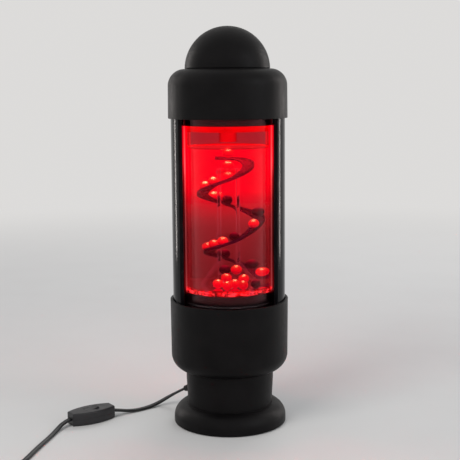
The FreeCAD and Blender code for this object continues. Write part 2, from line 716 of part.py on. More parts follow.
def tank_lid():
    flange_top = TANK_HIGH_Z + FLANGE_T
    shroud = without_struts(ring(FLANGE_R - 1, SHROUD_R - 0.2, TANK_HIGH_Z, TANK_HIGH_Z + 2.5),
                            TANK_HIGH_Z, TANK_HIGH_Z + 2.5)
    lid = spun((0, LID_LOW_Z), (SEAT_R, LID_LOW_Z), (SEAT_R, TANK_HIGH_Z), (FLANGE_R, TANK_HIGH_Z),
               (FLANGE_R, flange_top), (LID_CUP_R, flange_top), (LID_CUP_R, LID_WEB_TOP_Z),
               (0, LID_WEB_TOP_Z))
    pillars = [disc(3.4, LID_WEB_TOP_Z - 1, SHELF_LOW_Z - CLEAR, *at(COLLAR_SCREW_R, a)[:2])
               for a in COLLAR_SCREW_ANGLES]
    posts = [disc(1.9, LID_WEB_TOP_Z - 1, 321.9, *at(BOARD_POST_R, a)[:2]) for a in COLLAR_SCREW_ANGLES]
    lid = fused([lid, shroud] + pillars + posts)
    lid = lid.cut(disc(LENS_R + CLEAR, LID_LOW_Z - 1, LID_WEB_TOP_Z + 1))
    lid = lid.cut(disc(5.0, LID_LOW_Z - 1, LID_WEB_TOP_Z + 1, 0, PLUG_Y))
    lid = lid.cut(ring(GROOVE_R, SEAT_R + 1, 313.4, 316.4))
    for a in COLLAR_SCREW_ANGLES:
        lid = lid.cut(disc(1.25, 345, 359, *at(COLLAR_SCREW_R, a)[:2]))
        lid = lid.cut(disc(0.9, 316, 323, *at(BOARD_POST_R, a)[:2]))
    return flange_holes(lid, TANK_HIGH_Z + FLANGE_T / 2)


def light_guide():
    """A clear disc under the lid, with a barrel up to the lamps and a short one down."""
    guide = fused([disc(FLOOR_R, GUIDE_LOW_Z, LID_LOW_Z - CLEAR), disc(LENS_R, GUIDE_TIP_Z, GUIDE_HIGH_Z)])
    guide = guide.cut(spun((0, 311.0), (0, 318.0), (6.0, 318.0), (4.0, 313.0)))
    return guide.cut(disc(5.0, GUIDE_LOW_Z - 1, LID_LOW_Z, 0, PLUG_Y))


def lamp_board():
    board = disc(16.0, 322.0, 323.6)
    for a in COLLAR_SCREW_ANGLES:
        board = board.cut(disc(1.1, 321, 325, *at(BOARD_POST_R, a)[:2]))
    return board


def lamp_diodes():
    """Light-emitting diodes on the board's underside, and two resistors on top."""
    chip = block(-2.2, 2.2, -2.2, 2.2, 320.2, 321.9)
    places = [(-4.0, 0), (4.0, 0), (0, -5.2), (0, 5.2)]
    chips = []
    for x, y in places:
        copy = chip.copy()
        copy.translate(V(x, y, 0))
        chips.append(copy)
    return chips + [block(5, 8.2, y - 0.9, y + 0.9, 323.7, 324.6) for y in (-4, 4)]


def filling_plug():
    return fused([disc(4.8, 300.6, 311.2, 0, PLUG_Y), disc(6.6, 311.15, 314.6, 0, PLUG_Y),
                  block(-1.2, 1.2, PLUG_Y - 4.5, PLUG_Y + 4.5, 314.0, 320.0)])


def top_collar():
    centre = (SHOULDER_CENTRE_R, TOP_SIDE_Z)
    inner_round = TOP_SHOULDER_R - 2.0
    side_r = SHOULDER_CENTRE_R + TOP_SHOULDER_R
    shelf_angle = math.degrees(math.asin((SHELF_LOW_Z - TOP_SIDE_Z) / inner_round))
    collar = spun(
        (COLLAR_R, TOP_EDGE_Z), (side_r, TOP_SIDE_Z), arc(centre, TOP_SHOULDER_R, 0, 90),
        (OPENING_R, TOP_SIDE_Z + TOP_SHOULDER_R), (OPENING_R, SHELF_TOP_Z), (SHELF_R, SHELF_TOP_Z),
        (SHELF_R, SHELF_LOW_Z),
        (SHOULDER_CENTRE_R + inner_round * math.cos(math.radians(shelf_angle)), SHELF_LOW_Z),
        arc(centre, inner_round, shelf_angle, 0), (SHOULDER_CENTRE_R + inner_round, TOP_EDGE_Z))
    for a in COLLAR_SCREW_ANGLES:
        collar = collar.cut(disc(1.7, 356, 362, *at(COLLAR_SCREW_R, a)[:2]))
    return collar


def lid_screws():
    """Three that hold the top collar, and three that hold the lamp board."""
    down = V(0, 0, -1)
    return ([screw(1.2, 13.0, 2.5, 1.5, at(COLLAR_SCREW_R, a, SHELF_TOP_Z), down)
             for a in COLLAR_SCREW_ANGLES]
            + [screw(0.85, 5.5, 1.9, 1.2, at(BOARD_POST_R, a, 323.6), down) for a in COLLAR_SCREW_ANGLES])


def dome_cap():
    inner = DOME_R - DOME_WALL
    low = DOME_RIM_Z - DOME_CENTRE_Z
    centre = (0, DOME_CENTRE_Z)
    start, start_in = (math.degrees(math.asin(low / r)) for r in (DOME_R, inner))
    dome = spun((inner * math.cos(math.radians(start_in)), DOME_RIM_Z),
                (DOME_R * math.cos(math.radians(start)), DOME_RIM_Z),
                arc(centre, DOME_R, start, 90), (0, DOME_CENTRE_Z + inner),
                arc(centre, inner, 90, start_in))
    rim = spun((37.6, SHELF_TOP_Z + 0.2), (OPENING_R - 0.2, SHELF_TOP_Z + 0.2),
               (OPENING_R - 0.2, DOME_RIM_Z), (41.0, DOME_RIM_Z), (41.0, 366.0), (37.6, 369.5))
    return fused([dome, rim])


# ---- cord, switch and plug ----
def cord_gland():
    body = fused([Part.makeCylinder(5.0, 8.0, V(-5.0, 0, 0), V(1, 0, 0)),
                  Part.makeCylinder(7.0, 2.4, V(0.2, 0, 0), V(1, 0, 0)),
                  Part.makeCylinder(6.6, 2.0, V(-6.0, 0, 0), V(1, 0, 0))])
    body = body.cut(Part.makeCylinder(3.4, 20, V(-10, 0, 0), V(1, 0, 0)))
    return facing(body, at(GLAND_R, GLAND_ANGLE, GLAND_Z), GLAND_ANGLE)


def strain_relief():
    """A tapered sleeve with ribs that starts inside the gland."""
    cone = Part.makeCone(3.9, 3.1, RELIEF_LONG, V(0, 0, 0), V(1, 0, 0))
    ribs = [Part.makeCylinder(4.5 - 0.035 * x, 1.5, V(x, 0, 0), V(1, 0, 0)) for x in (5, 8, 11, 14)]
    body = fused([cone] + ribs)
    return facing(body, at(GLAND_R, GLAND_ANGLE, GLAND_Z), GLAND_ANGLE, RELIEF_DROP)


def boat(half_long, mid_half, end_half, low, high):
    """A flat solid whose two long sides bulge, lying along X."""
    corners = [V(-half_long, -end_half, low), V(half_long, -end_half, low),
               V(half_long, end_half, low), V(-half_long, end_half, low)]
    edges = [Part.Arc(corners[0], V(0, -mid_half, low), corners[1]).toShape(),
             Part.LineSegment(corners[1], corners[2]).toShape(),
             Part.Arc(corners[2], V(0, mid_half, low), corners[3]).toShape(),
             Part.LineSegment(corners[3], corners[0]).toShape()]
    return Part.Face(Part.Wire(edges)).extrude(V(0, 0, high - low))


def on_switch(shape):
    return facing(shape, SWITCH_AT, SWITCH_HEADING)


CORD_DOOR = block(-30, 30, -2.9, 2.9, 5.2, 8.2)
SPLIT_Z = 6.7
PIVOT_Z = 10.0
PIVOT_R = 1.2


def switch_shell(low, high, hollow_low, hollow_high):
    half = SWITCH_LONG / 2
    shell = boat(half, SWITCH_MID_W / 2, SWITCH_END_W / 2, low, high)
    level = low if low < 1 else high
    outer = [e for e in shell.Edges if all(abs(v.Z - level) < 0.01 for v in e.Vertexes)]
    shell = shell.makeFillet(1.6, outer)
    hollow = boat(half - 2.2, SWITCH_MID_W / 2 - 2.2, SWITCH_END_W / 2 - 1.8, hollow_low, hollow_high)
    return shell.cut(hollow).cut(CORD_DOOR)


def switch_base():
    shell = switch_shell(0.0, SPLIT_Z, 1.8, SPLIT_Z + 1)
    for x in (-16, 16):
        boss = disc(2.6, 1.0, SPLIT_Z - 2.0, x, 4.6)
        shell = shell.fuse(boss).cut(disc(1.3, -1, 8, x, 4.6)).cut(disc(2.2, -1, 1.6, x, 4.6))
    return on_switch(shell)


def switch_cover():
    shell = switch_shell(SPLIT_Z + 0.1, SWITCH_H, SPLIT_Z, SWITCH_H - 1.8)
    well = block(-9.6, 9.6, -6.9, 6.9, SPLIT_Z + 0.6, SWITCH_H - 1.0)
    shell = shell.fuse(well)
    for x in (-16, 16):
        shell = shell.fuse(disc(2.4, SPLIT_Z + 0.2, SWITCH_H - 1, x, 4.6))
        shell = shell.cut(disc(1.0, SPLIT_Z - 1, SWITCH_H - 2.5, x, 4.6))
    shell = shell.cut(block(-7.9, 7.9, -4.3, 4.3, SPLIT_Z - 1, SWITCH_H + 1))
    axle_hole = Part.makeCylinder(PIVOT_R + 0.05, 12.4, V(0, -6.2, PIVOT_Z), V(0, 1, 0))
    return on_switch(shell.cut(axle_hole))


def switch_rocker():
    half = 7.2
    top = SWITCH_H + 1.2
    edges = [Part.LineSegment(V(-half, -4.0, 8.4), V(half, -4.0, 8.4)).toShape(),
             Part.LineSegment(V(half, -4.0, 8.4), V(half, -4.0, top)).toShape(),
             Part.Arc(V(half, -4.0, top), V(0, -4.0, top - 1.1), V(-half, -4.0, top)).toShape(),
             Part.LineSegment(V(-half, -4.0, top), V(-half, -4.0, 8.4)).toShape()]
    body = Part.Face(Part.Wire(edges)).extrude(V(0, 8.0, 0))
    axle = Part.makeCylinder(PIVOT_R, 12.0, V(0, -6.0, PIVOT_Z), V(0, 1, 0))
    rocker = turned(fused([body, axle]), ROCKER_TILT, V(0, 0, PIVOT_Z), V(0, 1, 0))
    return on_switch(rocker)


def switch_screws():
    fixings = [screw(0.95, 8.0, 2.0, 1.0, V(x, 4.6, 1.5), UP) for x in (-16, 16)]
    return [on_switch(s) for s in fixings]


def switch_contacts():
    strips = [block(-9, 7, y - 1.0, y + 1.0, 2.0, 2.6).fuse(block(x, x + 0.8, y - 1.0, y + 1.0, 2.0, 5.6))
              for x, y in ((-9, -3.0), (6.2, 3.0))]
    return [on_switch(s) for s in strips]


def cord_coil():
    low, high = 0.1, COIL_H
    inner, outer = COIL_MEAN_R - COIL_HALF_W, COIL_MEAN_R + COIL_HALF_W
    coil = ring(inner, outer, low, high)
    coil = coil.makeFillet(2.0, [e for e in coil.Edges if e.Closed])
    coil.translate(COIL_AT)
    return coil


def plug_body():
    """A flat moulded plug that lies along +X, with its cord at the near end."""
    body = block(7, 30, -10.5, 10.5, -6.5, 6.5)
    body = body.makeFillet(3.0, [e for e in body.Edges if abs(e.Vertexes[0].X - e.Vertexes[1].X) > 1])
    neck = Part.makeCone(3.6, 5.2, 7.5, V(0, 0, 0), V(1, 0, 0))
    body = fused([body, neck])
    for side in (-1, 1):
        body = body.cut(block(26, 31, side * 6.35 - 0.85, side * 6.35 + 0.85, -3.3, 3.3))
    body.translate(PLUG_AT)
    return body


def plug_blades():
    blades = []
    for side in (-1, 1):
        blade = block(26.1, 47, side * 6.35 - 0.75, side * 6.35 + 0.75, -3.2, 3.2)
        hole = Part.makeCylinder(1.6, 4, V(43.5, side * 6.35 - 2, 0), V(0, 1, 0))
        blade = blade.cut(hole)
        blade.translate(PLUG_AT)
        blades.append(blade)
    return blades


NODES = {
    "foot_shell": foot_shell,
    "base_plate": base_plate,
    "foot_pad_ring": lambda: ring(44.0, 55.0, 0.0, 2.5),
    "foot_screws": foot_screws,
    "ballast_ring": lambda: ring(24.0, 34.5, 4.6, 16.0),
    "base_collar": base_collar,
    "tank_seat": tank_seat,
    "seat_screws": seat_screws,
    "tank_seals": tank_seals,
    "floor_disc": floor_disc,
    "tank_tube": tank_tube,
    "riser_tube": riser_tube,
    "bead_guide": bead_guide,
    "jet_nozzle": jet_nozzle,
    "spiral_ramp": spiral_ramp,
    "ramp_brackets": ramp_brackets,
    "beads_bright": bright_beads,
    "beads_dark": dark_beads,
    "beads_lifted": lifted_beads,
    "liquid": liquid,
    "impeller_pin": impeller_pin,
    "impeller": impeller,
    "impeller_magnet": impeller_magnet,
    "motor_can": motor_can,
    "motor_end_cap": motor_end_cap,
    "motor_armature": armature,
    "motor_shaft": motor_shaft,
    "drive_magnet": drive_magnet,
    "motor_bracket": motor_bracket,
    "motor_screws": motor_screws,
    "supply_board": supply_board,
    "board_components": board_components,
    "terminal_block": terminal_block,
    "supply_lead": supply_lead,
    "hook_up_leads": hook_up_leads,
    "lamp_lead": lamp_lead,
    "side_strut_left": lambda: strut(-1),
    "side_strut_right": lambda: strut(1),
    "strut_screws": strut_screws,
    "tank_lid": tank_lid,
    "light_guide": light_guide,
    "lamp_board": lamp_board,
    "lamp_diodes": lamp_diodes,
    "filling_plug": filling_plug,
    "top_collar": top_collar,
    "lid_screws": lid_screws,
    "dome_cap": dome_cap,
    "cord_gland": cord_gland,
    "strain_relief": strain_relief,
    "cord_lamp_side": lambda: flat_cord("cord_lamp_side", LAMP_SIDE_ROUTE),
    "switch_base": switch_base,
    "switch_cover": switch_cover,
    "switch_rocker": switch_rocker,
    "switch_screws": switch_screws,
    "switch_contacts": switch_contacts,
    "cord_plug_side": lambda: flat_cord("cord_plug_side", PLUG_SIDE_ROUTE),
    "cord_coil": cord_coil,
    "cord_tail": lambda: flat_cord("cord_tail", TAIL_ROUTE),
    "plug_body": plug_body,
    "plug_blades": plug_blades,
}


def main():
    os.makedirs("parts", exist_ok=True)
    for name, make in NODES.items():
        shape = make()
        if isinstance(shape, list):
            shape = Part.makeCompound(shape)
        if not shape.isValid() or shape.Volume <= 0:
            print("%s: valid %s, volume %.1f" % (name, shape.isValid(), shape.Volume))
        shape.exportStep("parts/%s.step" % name)


main()
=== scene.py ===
import json
import math

import bmesh
import bpy
from bpy.props import FloatProperty, FloatVectorProperty, IntProperty, PointerProperty
from mathutils import Euler, Matrix, Vector


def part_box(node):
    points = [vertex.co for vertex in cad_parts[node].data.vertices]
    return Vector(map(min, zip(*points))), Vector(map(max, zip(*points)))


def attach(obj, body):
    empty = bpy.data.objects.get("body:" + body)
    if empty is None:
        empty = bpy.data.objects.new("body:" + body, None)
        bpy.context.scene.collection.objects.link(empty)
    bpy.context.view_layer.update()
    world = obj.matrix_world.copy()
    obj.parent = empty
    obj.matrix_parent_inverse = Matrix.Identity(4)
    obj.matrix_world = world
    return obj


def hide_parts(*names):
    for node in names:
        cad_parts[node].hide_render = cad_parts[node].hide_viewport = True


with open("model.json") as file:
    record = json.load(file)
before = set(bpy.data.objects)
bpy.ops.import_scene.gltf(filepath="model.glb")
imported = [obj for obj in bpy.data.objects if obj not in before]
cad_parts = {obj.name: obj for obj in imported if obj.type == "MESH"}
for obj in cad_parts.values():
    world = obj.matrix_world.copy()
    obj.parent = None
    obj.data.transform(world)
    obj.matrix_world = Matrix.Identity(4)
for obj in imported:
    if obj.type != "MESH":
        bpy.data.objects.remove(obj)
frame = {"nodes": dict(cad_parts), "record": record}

bl_info = {
    "name": "Liquid Motion Lamp",
    "version": (1, 0, 0),
    "blender": (4, 5, 0),
    "location": "View3D > Sidebar > Motion Lamp",
    "description": "Dresses a liquid motion lamp: tank, ramp, beads, black shells, flex and stage",
    "category": "Object",
}

UP = Vector((0, 0, 1))
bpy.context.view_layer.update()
BODY_OF = {node: body for body, nodes in frame["record"]["behaviour"]["bodies"].items()
           for node in nodes}
SLOT_OF = {row["node"]: row["material_slot"] for row in frame["record"]["subparts"]}
IMAGE_SIDE = 460
TANK_LOW, TANK_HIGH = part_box("tank_tube")
FLOOR_LOW, FLOOR_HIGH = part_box("floor_disc")
LIQUID_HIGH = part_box("liquid")[1]
TANK_IN_R = 0.0448
CREASE = 38.0  # in degrees; steeper edges stay sharp

# Heights or radii from which a finish changes and at which it has changed. Most of these spans
# place painted lamp light and glow.
LIT_SPAN = (0.14, 0.29)  # the liquid's painted lamp light and glow
# The tank wall's painted red lamp light starts above the liquid and ends under the lid.
WALL_REDDENS, WALL_CLEARS = (0.2848, 0.2862), (0.3078, 0.3068)
SURFACE_GLOW = (0.28, 0.284)
BARREL_EDGE, GUIDE_RISE = (0.0096, 0.0091), (0.3014, 0.3056)
FLOOR_EDGE_LOW, FLOOR_EDGE_HIGH = (0.1399, 0.1406), (0.1442, 0.1432)
FLOOR_LIGHT_REACH = (0.172, 0.154)
DIODE_FACE = (0.3219, 0.3201)
BACKDROP_NEAR = (0.55, 1.9)


# ---- sizes and colours that a user would change ----
def distance(name, description, default, **limits):
    return FloatProperty(name=name, description=description, default=default, subtype="DISTANCE",
                         unit="LENGTH", precision=5, **limits)


def colour(name, description, default):
    return FloatVectorProperty(name=name, description=description, default=default, size=3,
                               subtype="COLOR", min=0.0, max=1.0)


class LampSizes(bpy.types.PropertyGroup):
    """Sizes of the visible pieces, in metres."""
    water_level: distance("Water level", "Height of the liquid's surface", LIQUID_HIGH.z)
    water_radius: distance("Liquid radius", "Radius of the liquid in the tank", LIQUID_HIGH.x)
    meniscus: distance("Meniscus", "How far the liquid climbs the wall", 0.0009)
    bead_radius: distance("Bead radius", "Radius of every bead", 0.0047)
    ramp_width: distance("Ramp width", "Width of the ramp's track with its rim", 0.009)
    ramp_thickness: distance("Ramp thickness", "Thickness of the ramp's track", 0.0012)
    rim_wall: distance("Rim wall", "Thickness of the rim on the ramp's outer edge", 0.001)
    rim_up: distance("Rim height", "How far the rim stands above the track", 0.0008)
    rim_down: distance("Rim depth", "How far the rim hangs below the track's upper face", 0.0024)
    cord_width: distance("Flex width", "Width of the flat twin flex", 0.0054)
    cord_thickness: distance("Flex thickness", "Thickness of the flat twin flex", 0.0028)
    shell_edge: distance("Shell edge", "Rounding of the black shells' edges", 0.0005)
    fine_edge: distance("Fine edge", "Rounding of the small pieces' edges", 0.0003)
    coil_turns: IntProperty(name="Coil turns", description="Turns of put-away flex", default=7)


class LampColours(bpy.types.PropertyGroup):
    """Colours of the visible materials."""
    shell: colour("Shells", "Black moulded shells", (0.0045, 0.004, 0.0043))
    strut: colour("Struts", "Glossy side struts", (0.005, 0.005, 0.006))
    glow: colour("Glow", "Light of the lamps in the lid", (1.0, 0.0, 0.012))
    # Painted shade: the dull red of the liquid's far side below the lamps' glow, where less of
    # their light reaches.
    dim_lit_liquid: colour("Lower liquid", "Tint of the liquid below the glow", (0.38, 0.022, 0.028))
    ramp: colour("Ramp", "Smoky violet of the spiral ramp", (0.06, 0.006, 0.045))
    bright_bead: colour("Bright beads", "Clear red beads", (0.2, 0.002, 0.003))
    dark_bead: colour("Dark beads", "Near-black beads", (0.018, 0.002, 0.005))
    floor: colour("Floor", "Pale floor and backdrop", (0.72, 0.71, 0.70))


def sizes():
    return bpy.context.scene.lamp_sizes


def colours():
    return bpy.context.scene.lamp_colours


# ---- materials ----
class Net:
    """Adds nodes to a tree and joins them up."""

    def __init__(self, tree):
        self.tree = tree

    def feed(self, socket, value):
        if isinstance(value, bpy.types.NodeSocket):
            self.tree.links.new(value, socket)
        else:
            socket.default_value = value

    def add(self, kind, inputs=(), **settings):
        node = self.tree.nodes.new(kind)
        for name, value in settings.items():
            setattr(node, name, value)
        for key, value in dict(inputs).items():
            self.feed(node.inputs[key], value)
        return node

    def shape(self, kind, inputs=(), **settings):
        """The first output of a geometry node."""
        return self.add("GeometryNode" + kind, inputs, **settings).outputs[0]

    def value(self, kind, inputs=(), output=0, **settings):
        """One output of a shader node."""
        return self.add("ShaderNode" + kind, inputs, **settings).outputs[output]

    def shader(self, kind, **inputs):
        """A shader of a kind. An input's name has _ for each space."""
        return self.value(kind, {name.replace("_", " "): inputs[name] for name in inputs})

    def principled(self, **inputs):
        return self.shader("BsdfPrincipled", **inputs)

    def mixed(self, factor, a, b):
        """One shader over another."""
        return self.value("MixShader", {0: factor, 1: a, 2: b})

    def surface(self, shader):
        self.feed(self.out.inputs["Surface"], shader)

    def math(self, operation, a, b=0.0, clamp=False):
        return self.value("Math", {0: a, 1: b}, operation=operation, use_clamp=clamp)

    def times(self, value, *factors):
        for factor in factors:
            value = self.math("MULTIPLY", value, factor)
        return value

    def ramp(self, value, stops, smooth=True):
        """A colour ramp of (place, colour) stops."""
        node = self.add("ShaderNodeValToRGB", {0: value})
        node.color_ramp.interpolation = "EASE" if smooth else "LINEAR"
        marks = node.color_ramp.elements
        while len(marks) < len(stops):
            marks.new(0.5)
        for mark, (place, shade) in zip(marks, stops):
            mark.position = place
            mark.color = (*shade, 1.0)
        return node.outputs[0]

    def blend(self, factor, a, b, kind="RGBA"):
        node = self.add("ShaderNodeMix", {0: factor}, data_type=kind, clamp_factor=True)
        first, result = {"RGBA": (6, 2), "FLOAT": (2, 0)}[kind]
        self.feed(node.inputs[first], a)
        self.feed(node.inputs[first + 1], b)
        return node.outputs[result]

    def share(self, value, low, high):
        """How far a value is from low to high, from 0 to 1."""
        return self.value("MapRange", {0: value, 1: low, 2: high})

    def band(self, value, low, high, bottom=0.0, top=1.0):
        """A smooth step from bottom to top as the value goes from low to high."""
        return self.value("MapRange", {0: value, 1: low, 2: high, 3: bottom, 4: top},
                          interpolation_type="SMOOTHSTEP")

    def place(self):
        return self.value("TexCoord", output="Object")

    def height(self):
        return self.value("SeparateXYZ", {0: self.place()}, 2)

    def upward(self):
        """How far the surface faces up: 1 for a level top, -1 for an underside."""
        return self.value("SeparateXYZ", {0: self.value("NewGeometry", output="Normal")}, 2)

    def behind(self):
        return self.value("NewGeometry", output="Backfacing")

    def facing(self, blend=0.5):
        return self.value("LayerWeight", {"Blend": blend}, "Facing")

    def length(self, vector):
        return self.value("VectorMath", {0: vector}, "Value", operation="LENGTH")

    def vector(self, x=0.0, y=0.0, z=0.0):
        return self.value("CombineXYZ", {0: x, 1: y, 2: z})

    def stretched(self, scale):
        return self.value("Mapping", {"Vector": self.place(), "Scale": scale})

    def noise(self, scale, detail=3.0, vector=None, roughness=0.5):
        return self.value("TexNoise", {"Vector": vector or self.place(), "Scale": scale,
                                       "Detail": detail, "Roughness": roughness})

    def bump(self, height, strength, depth):
        return self.value("Bump", {"Strength": strength, "Distance": depth, "Height": height})


def finish(add_nodes):
    """Turns a function that adds nodes into one that makes the named material with them."""
    def make(name, *values, **settings):
        material = bpy.data.materials.new(name)
        material.use_nodes = True
        material.node_tree.nodes.clear()
        net = Net(material.node_tree)
        net.out = net.add("ShaderNodeOutputMaterial")
        add_nodes(net, *values, **settings)
        return material
    return make


def tone(shade, factor):
    return tuple(min(1.0, c * factor) for c in shade)


@finish
def moulded(net, shade, rough=0.42, spread=0.08, grain=2600.0, depth=0.00002, variation=0.25,
            specular=0.5, metallic=0.0, stretch=(1.0, 1.0, 1.0)):
    """A moulded or cast finish: fine grain in the bump, softer patches in colour and gloss."""
    fine = net.noise(grain, 2.0, net.stretched(stretch))
    broad = net.noise(38.0, 4.0)
    wear = net.noise(190.0, 5.0, roughness=0.62)
    patch = net.math("ADD", net.times(broad, 0.6), net.times(wear, 0.4))
    net.surface(net.principled(
        Base_Color=net.ramp(broad, [(0.3, tone(shade, 1 - variation)),
                                    (0.7, tone(shade, 1 + variation))]),
        Roughness=net.band(patch, 0.3, 0.7, rough - spread, rough + spread),
        Normal=net.bump(fine, 0.5, depth), Metallic=metallic, Specular_IOR_Level=specular))


def passing_shadows(net, surface):
    """Lets lamp light through a clear wall without the noise of focused light."""
    shadow = net.value("LightPath", output="Is Shadow Ray")
    through = net.shader("BsdfTransparent", Color=(0.96, 0.93, 0.93, 1))
    return net.mixed(shadow, surface, through)


def seen_through(shade):
    """The base colour whose tint at one face of a clear solid is the given shade."""
    return (*(c * c for c in shade), 1.0)


def clear_shader(net, tint, shade, strength, ior):
    """A polished clear surface with faint smears, whose reflections take a painted red tint of the
    lamps' colour.
    """
    smear = net.noise(60.0, 5.0, net.stretched((1.0, 1.0, 0.25)))
    shader = net.principled(
        Base_Color=tint, Roughness=net.band(smear, 0.55, 0.8, 0.01, 0.04), IOR=ior,
        Normal=net.bump(net.noise(900.0, 2.0), 0.008, 0.0002), Transmission_Weight=1.0,
        Specular_Tint=(0.6, 0.05, 0.07, 1), Emission_Color=shade, Emission_Strength=strength)
    net.surface(passing_shadows(net, shader))


def along_height(net, span, stops, drift=0.0):
    """A colour ramp over the height, from (height, colour or grey) stops."""
    low, high = span
    height = net.height()
    if drift:
        sway = net.math("SUBTRACT", net.noise(24.0, 3.0), 0.5)
        height = net.math("ADD", height, net.times(sway, drift))
    marks = [((z - low) / (high - low), shade if isinstance(shade, tuple) else (shade,) * 3)
             for z, shade in stops]
    return net.ramp(net.share(height, low, high), marks, smooth=False)


@finish
def tank_material(net):
    """The tank's wall: painted red lamp light above the liquid, painted glow along its edges near
    the lid and the floor, and a painted highlight line.
    """
    span = (TANK_LOW.z, TANK_HIGH.z)
    height, facing = net.height(), net.facing()
    # Painted red lamp light: the wall takes the lit tint between the waterline and the lid.
    in_air = net.times(net.band(height, *WALL_REDDENS), net.band(height, *WALL_CLEARS))
    clear, lit = seen_through((1.0, 0.985, 0.988)), seen_through((0.87, 0.37, 0.42))
    # Painted glow of lamp light along the wall's edges, strongest near the lid.
    glow = along_height(net, span, [
        (0.139, 0.0), (0.147, 0.12), (0.160, 0.07), (0.185, 0.02), (0.235, 0.04), (0.256, 0.2),
        (0.270, 0.6), (0.3065, 0.75), (0.3075, 0.0)])
    edge = net.times(glow, net.band(facing, 0.42, 0.52))
    # A painted pale highlight line a little inside each edge of the wall.
    line_glow = along_height(net, span, [
        (0.139, 0.0), (0.145, 0.8), (0.2, 1.0), (0.262, 0.9), (0.285, 0.45), (0.306, 0.25)])
    line = net.times(net.band(facing, 0.515, 0.55), net.band(facing, 0.61, 0.575), line_glow)
    shade = net.blend(line, (*colours().glow, 1), (1.0, 0.2, 0.21, 1))
    front = net.math("SUBTRACT", 1.0, net.behind())
    strength = net.times(net.math("ADD", edge, net.times(line, 0.13)), front)
    clear_shader(net, net.blend(in_air, clear, lit), shade, strength, ior=1.4)
    absorption = net.shader("VolumeAbsorption", Color=(1.0, 0.15, 0.3, 1), Density=30.0)
    net.feed(net.out.inputs["Volume"], absorption)


@finish
def guide_material(net):
    """The light guide: a painted glow of the diodes' light, with its barrel brighter than its disc.
    """
    off_axis = net.length(net.stretched((1.0, 1.0, 0.0)))
    barrel = net.band(off_axis, *BARREL_EDGE)
    cloud = net.band(net.noise(70.0, 3.0), 0.3, 0.7, 0.85, 1.1)
    disc_glow = net.band(net.height(), *GUIDE_RISE, 0.5, 0.95)
    barrel_glow = net.times(net.band(net.facing(), 0.9, 0.0, 0.1, 1.0), 0.4)
    strength = net.times(net.blend(barrel, disc_glow, barrel_glow, "FLOAT"), cloud)
    tint = net.blend(barrel, seen_through((0.4, 0.03, 0.08)), seen_through((0.82, 0.26, 0.36)))
    clear_shader(net, tint, (*colours().glow, 1), strength, ior=1.03)


@finish
def tank_floor_material(net):
    """The slotted floor: painted lamp light along its edges, broken into segments and streaks by
    noise, over a painted red tint.
    """
    segments = net.noise(120.0, 3.0, net.stretched((1.0, 1.0, 0.35)), roughness=0.65)
    streaks = net.noise(150.0, 3.0, net.stretched((1.0, 1.0, 4.5)), roughness=0.65)
    height = net.height()
    edge_glow = net.times(
        net.band(segments, 0.44, 0.53, 0.03, 1.0), net.band(streaks, 0.42, 0.54, 0.06, 1.15),
        net.times(net.band(height, *FLOOR_EDGE_LOW), net.band(height, *FLOOR_EDGE_HIGH, 0.05, 1.0)))
    side = net.band(net.math("ABSOLUTE", net.upward()), 0.5, 0.2)
    strength = net.blend(side, net.times(streaks, 0.05), edge_glow, "FLOAT")
    clear_shader(net, seen_through((0.7, 0.14, 0.2)), (1.0, 0.045, 0.055, 1), strength, ior=1.2)


@finish
def liquid_material(net):
    """Clear liquid: painted red lamp light on its far side under the waterline, fading to a painted
    dull red below, where less light reaches.
    """
    dull = colours().dim_lit_liquid
    lamp_light_tints = [(0.146, tone(dull, 0.7)), (0.175, tone(dull, 0.9)), (0.196, tone(dull, 1.06)),
             (0.209, tone(dull, 1.28)), (0.219, (0.62, 0.02, 0.03)), (0.226, (0.72, 0.006, 0.02)),
             (0.237, (0.88, 0.0, 0.012))]
    far_lamp_light = along_height(net, LIT_SPAN, [(z, seen_through(shade)[:3]) for z, shade in lamp_light_tints],
                            drift=0.012)
    glow = along_height(net, LIT_SPAN, [(0.146, 0.03), (0.154, 0.0), (0.2, 0.0), (0.219, 0.09),
                                        (0.229, 0.2), (0.240, 0.36)], drift=0.012)
    behind = net.behind()
    side_glow = net.times(glow, net.math("ADD", net.times(behind, 0.94), 0.06))
    # A painted glow on the top surface just under the lid; the reflections take a painted red tint.
    top = net.times(net.band(net.upward(), 0.8, 0.98), net.band(net.height(), *SURFACE_GLOW))
    net.surface(passing_shadows(net, net.principled(
        Base_Color=net.blend(behind, (1.0, 0.92, 0.93, 1), far_lamp_light), Roughness=0.0, IOR=1.33,
        Transmission_Weight=1.0, Emission_Color=(*colours().glow, 1),
        Emission_Strength=net.blend(top, side_glow, 0.42, "FLOAT"),
        Specular_Tint=(0.7, 0.04, 0.06, 1))))


@finish
def riser_material(net):
    """The riser's wall under the liquid: nearly invisible, but for what its edges bend and a faint
    painted glow along them.
    """
    strength = net.times(net.band(net.facing(), 0.4, 0.95), 0.09)
    clear_shader(net, seen_through((0.995, 0.97, 0.975)), (1.0, 0.2, 0.28, 1), strength, ior=1.09)


@finish
def cone_material(net):
    """A clear wall under liquid, seen only by a painted glow along its edges and a faint gloss."""
    rim = net.times(net.band(net.facing(0.35), 0.45, 0.98), 0.35)
    through = net.shader("BsdfTransparent", Color=(0.97, 0.9, 0.91, 1))
    glow = net.shader("Emission", Color=(0.9, 0.12, 0.2, 1), Strength=0.55)
    smear = net.band(net.noise(220.0, 3.0), 0.3, 0.7, 0.03, 0.12)
    gloss = net.shader("BsdfGlossy", Color=(1, 0.85, 0.87, 1), Roughness=smear)
    shine = net.times(net.shader("Fresnel", IOR=1.16), 0.2)
    net.surface(net.mixed(shine, net.mixed(rim, through, glow), gloss))


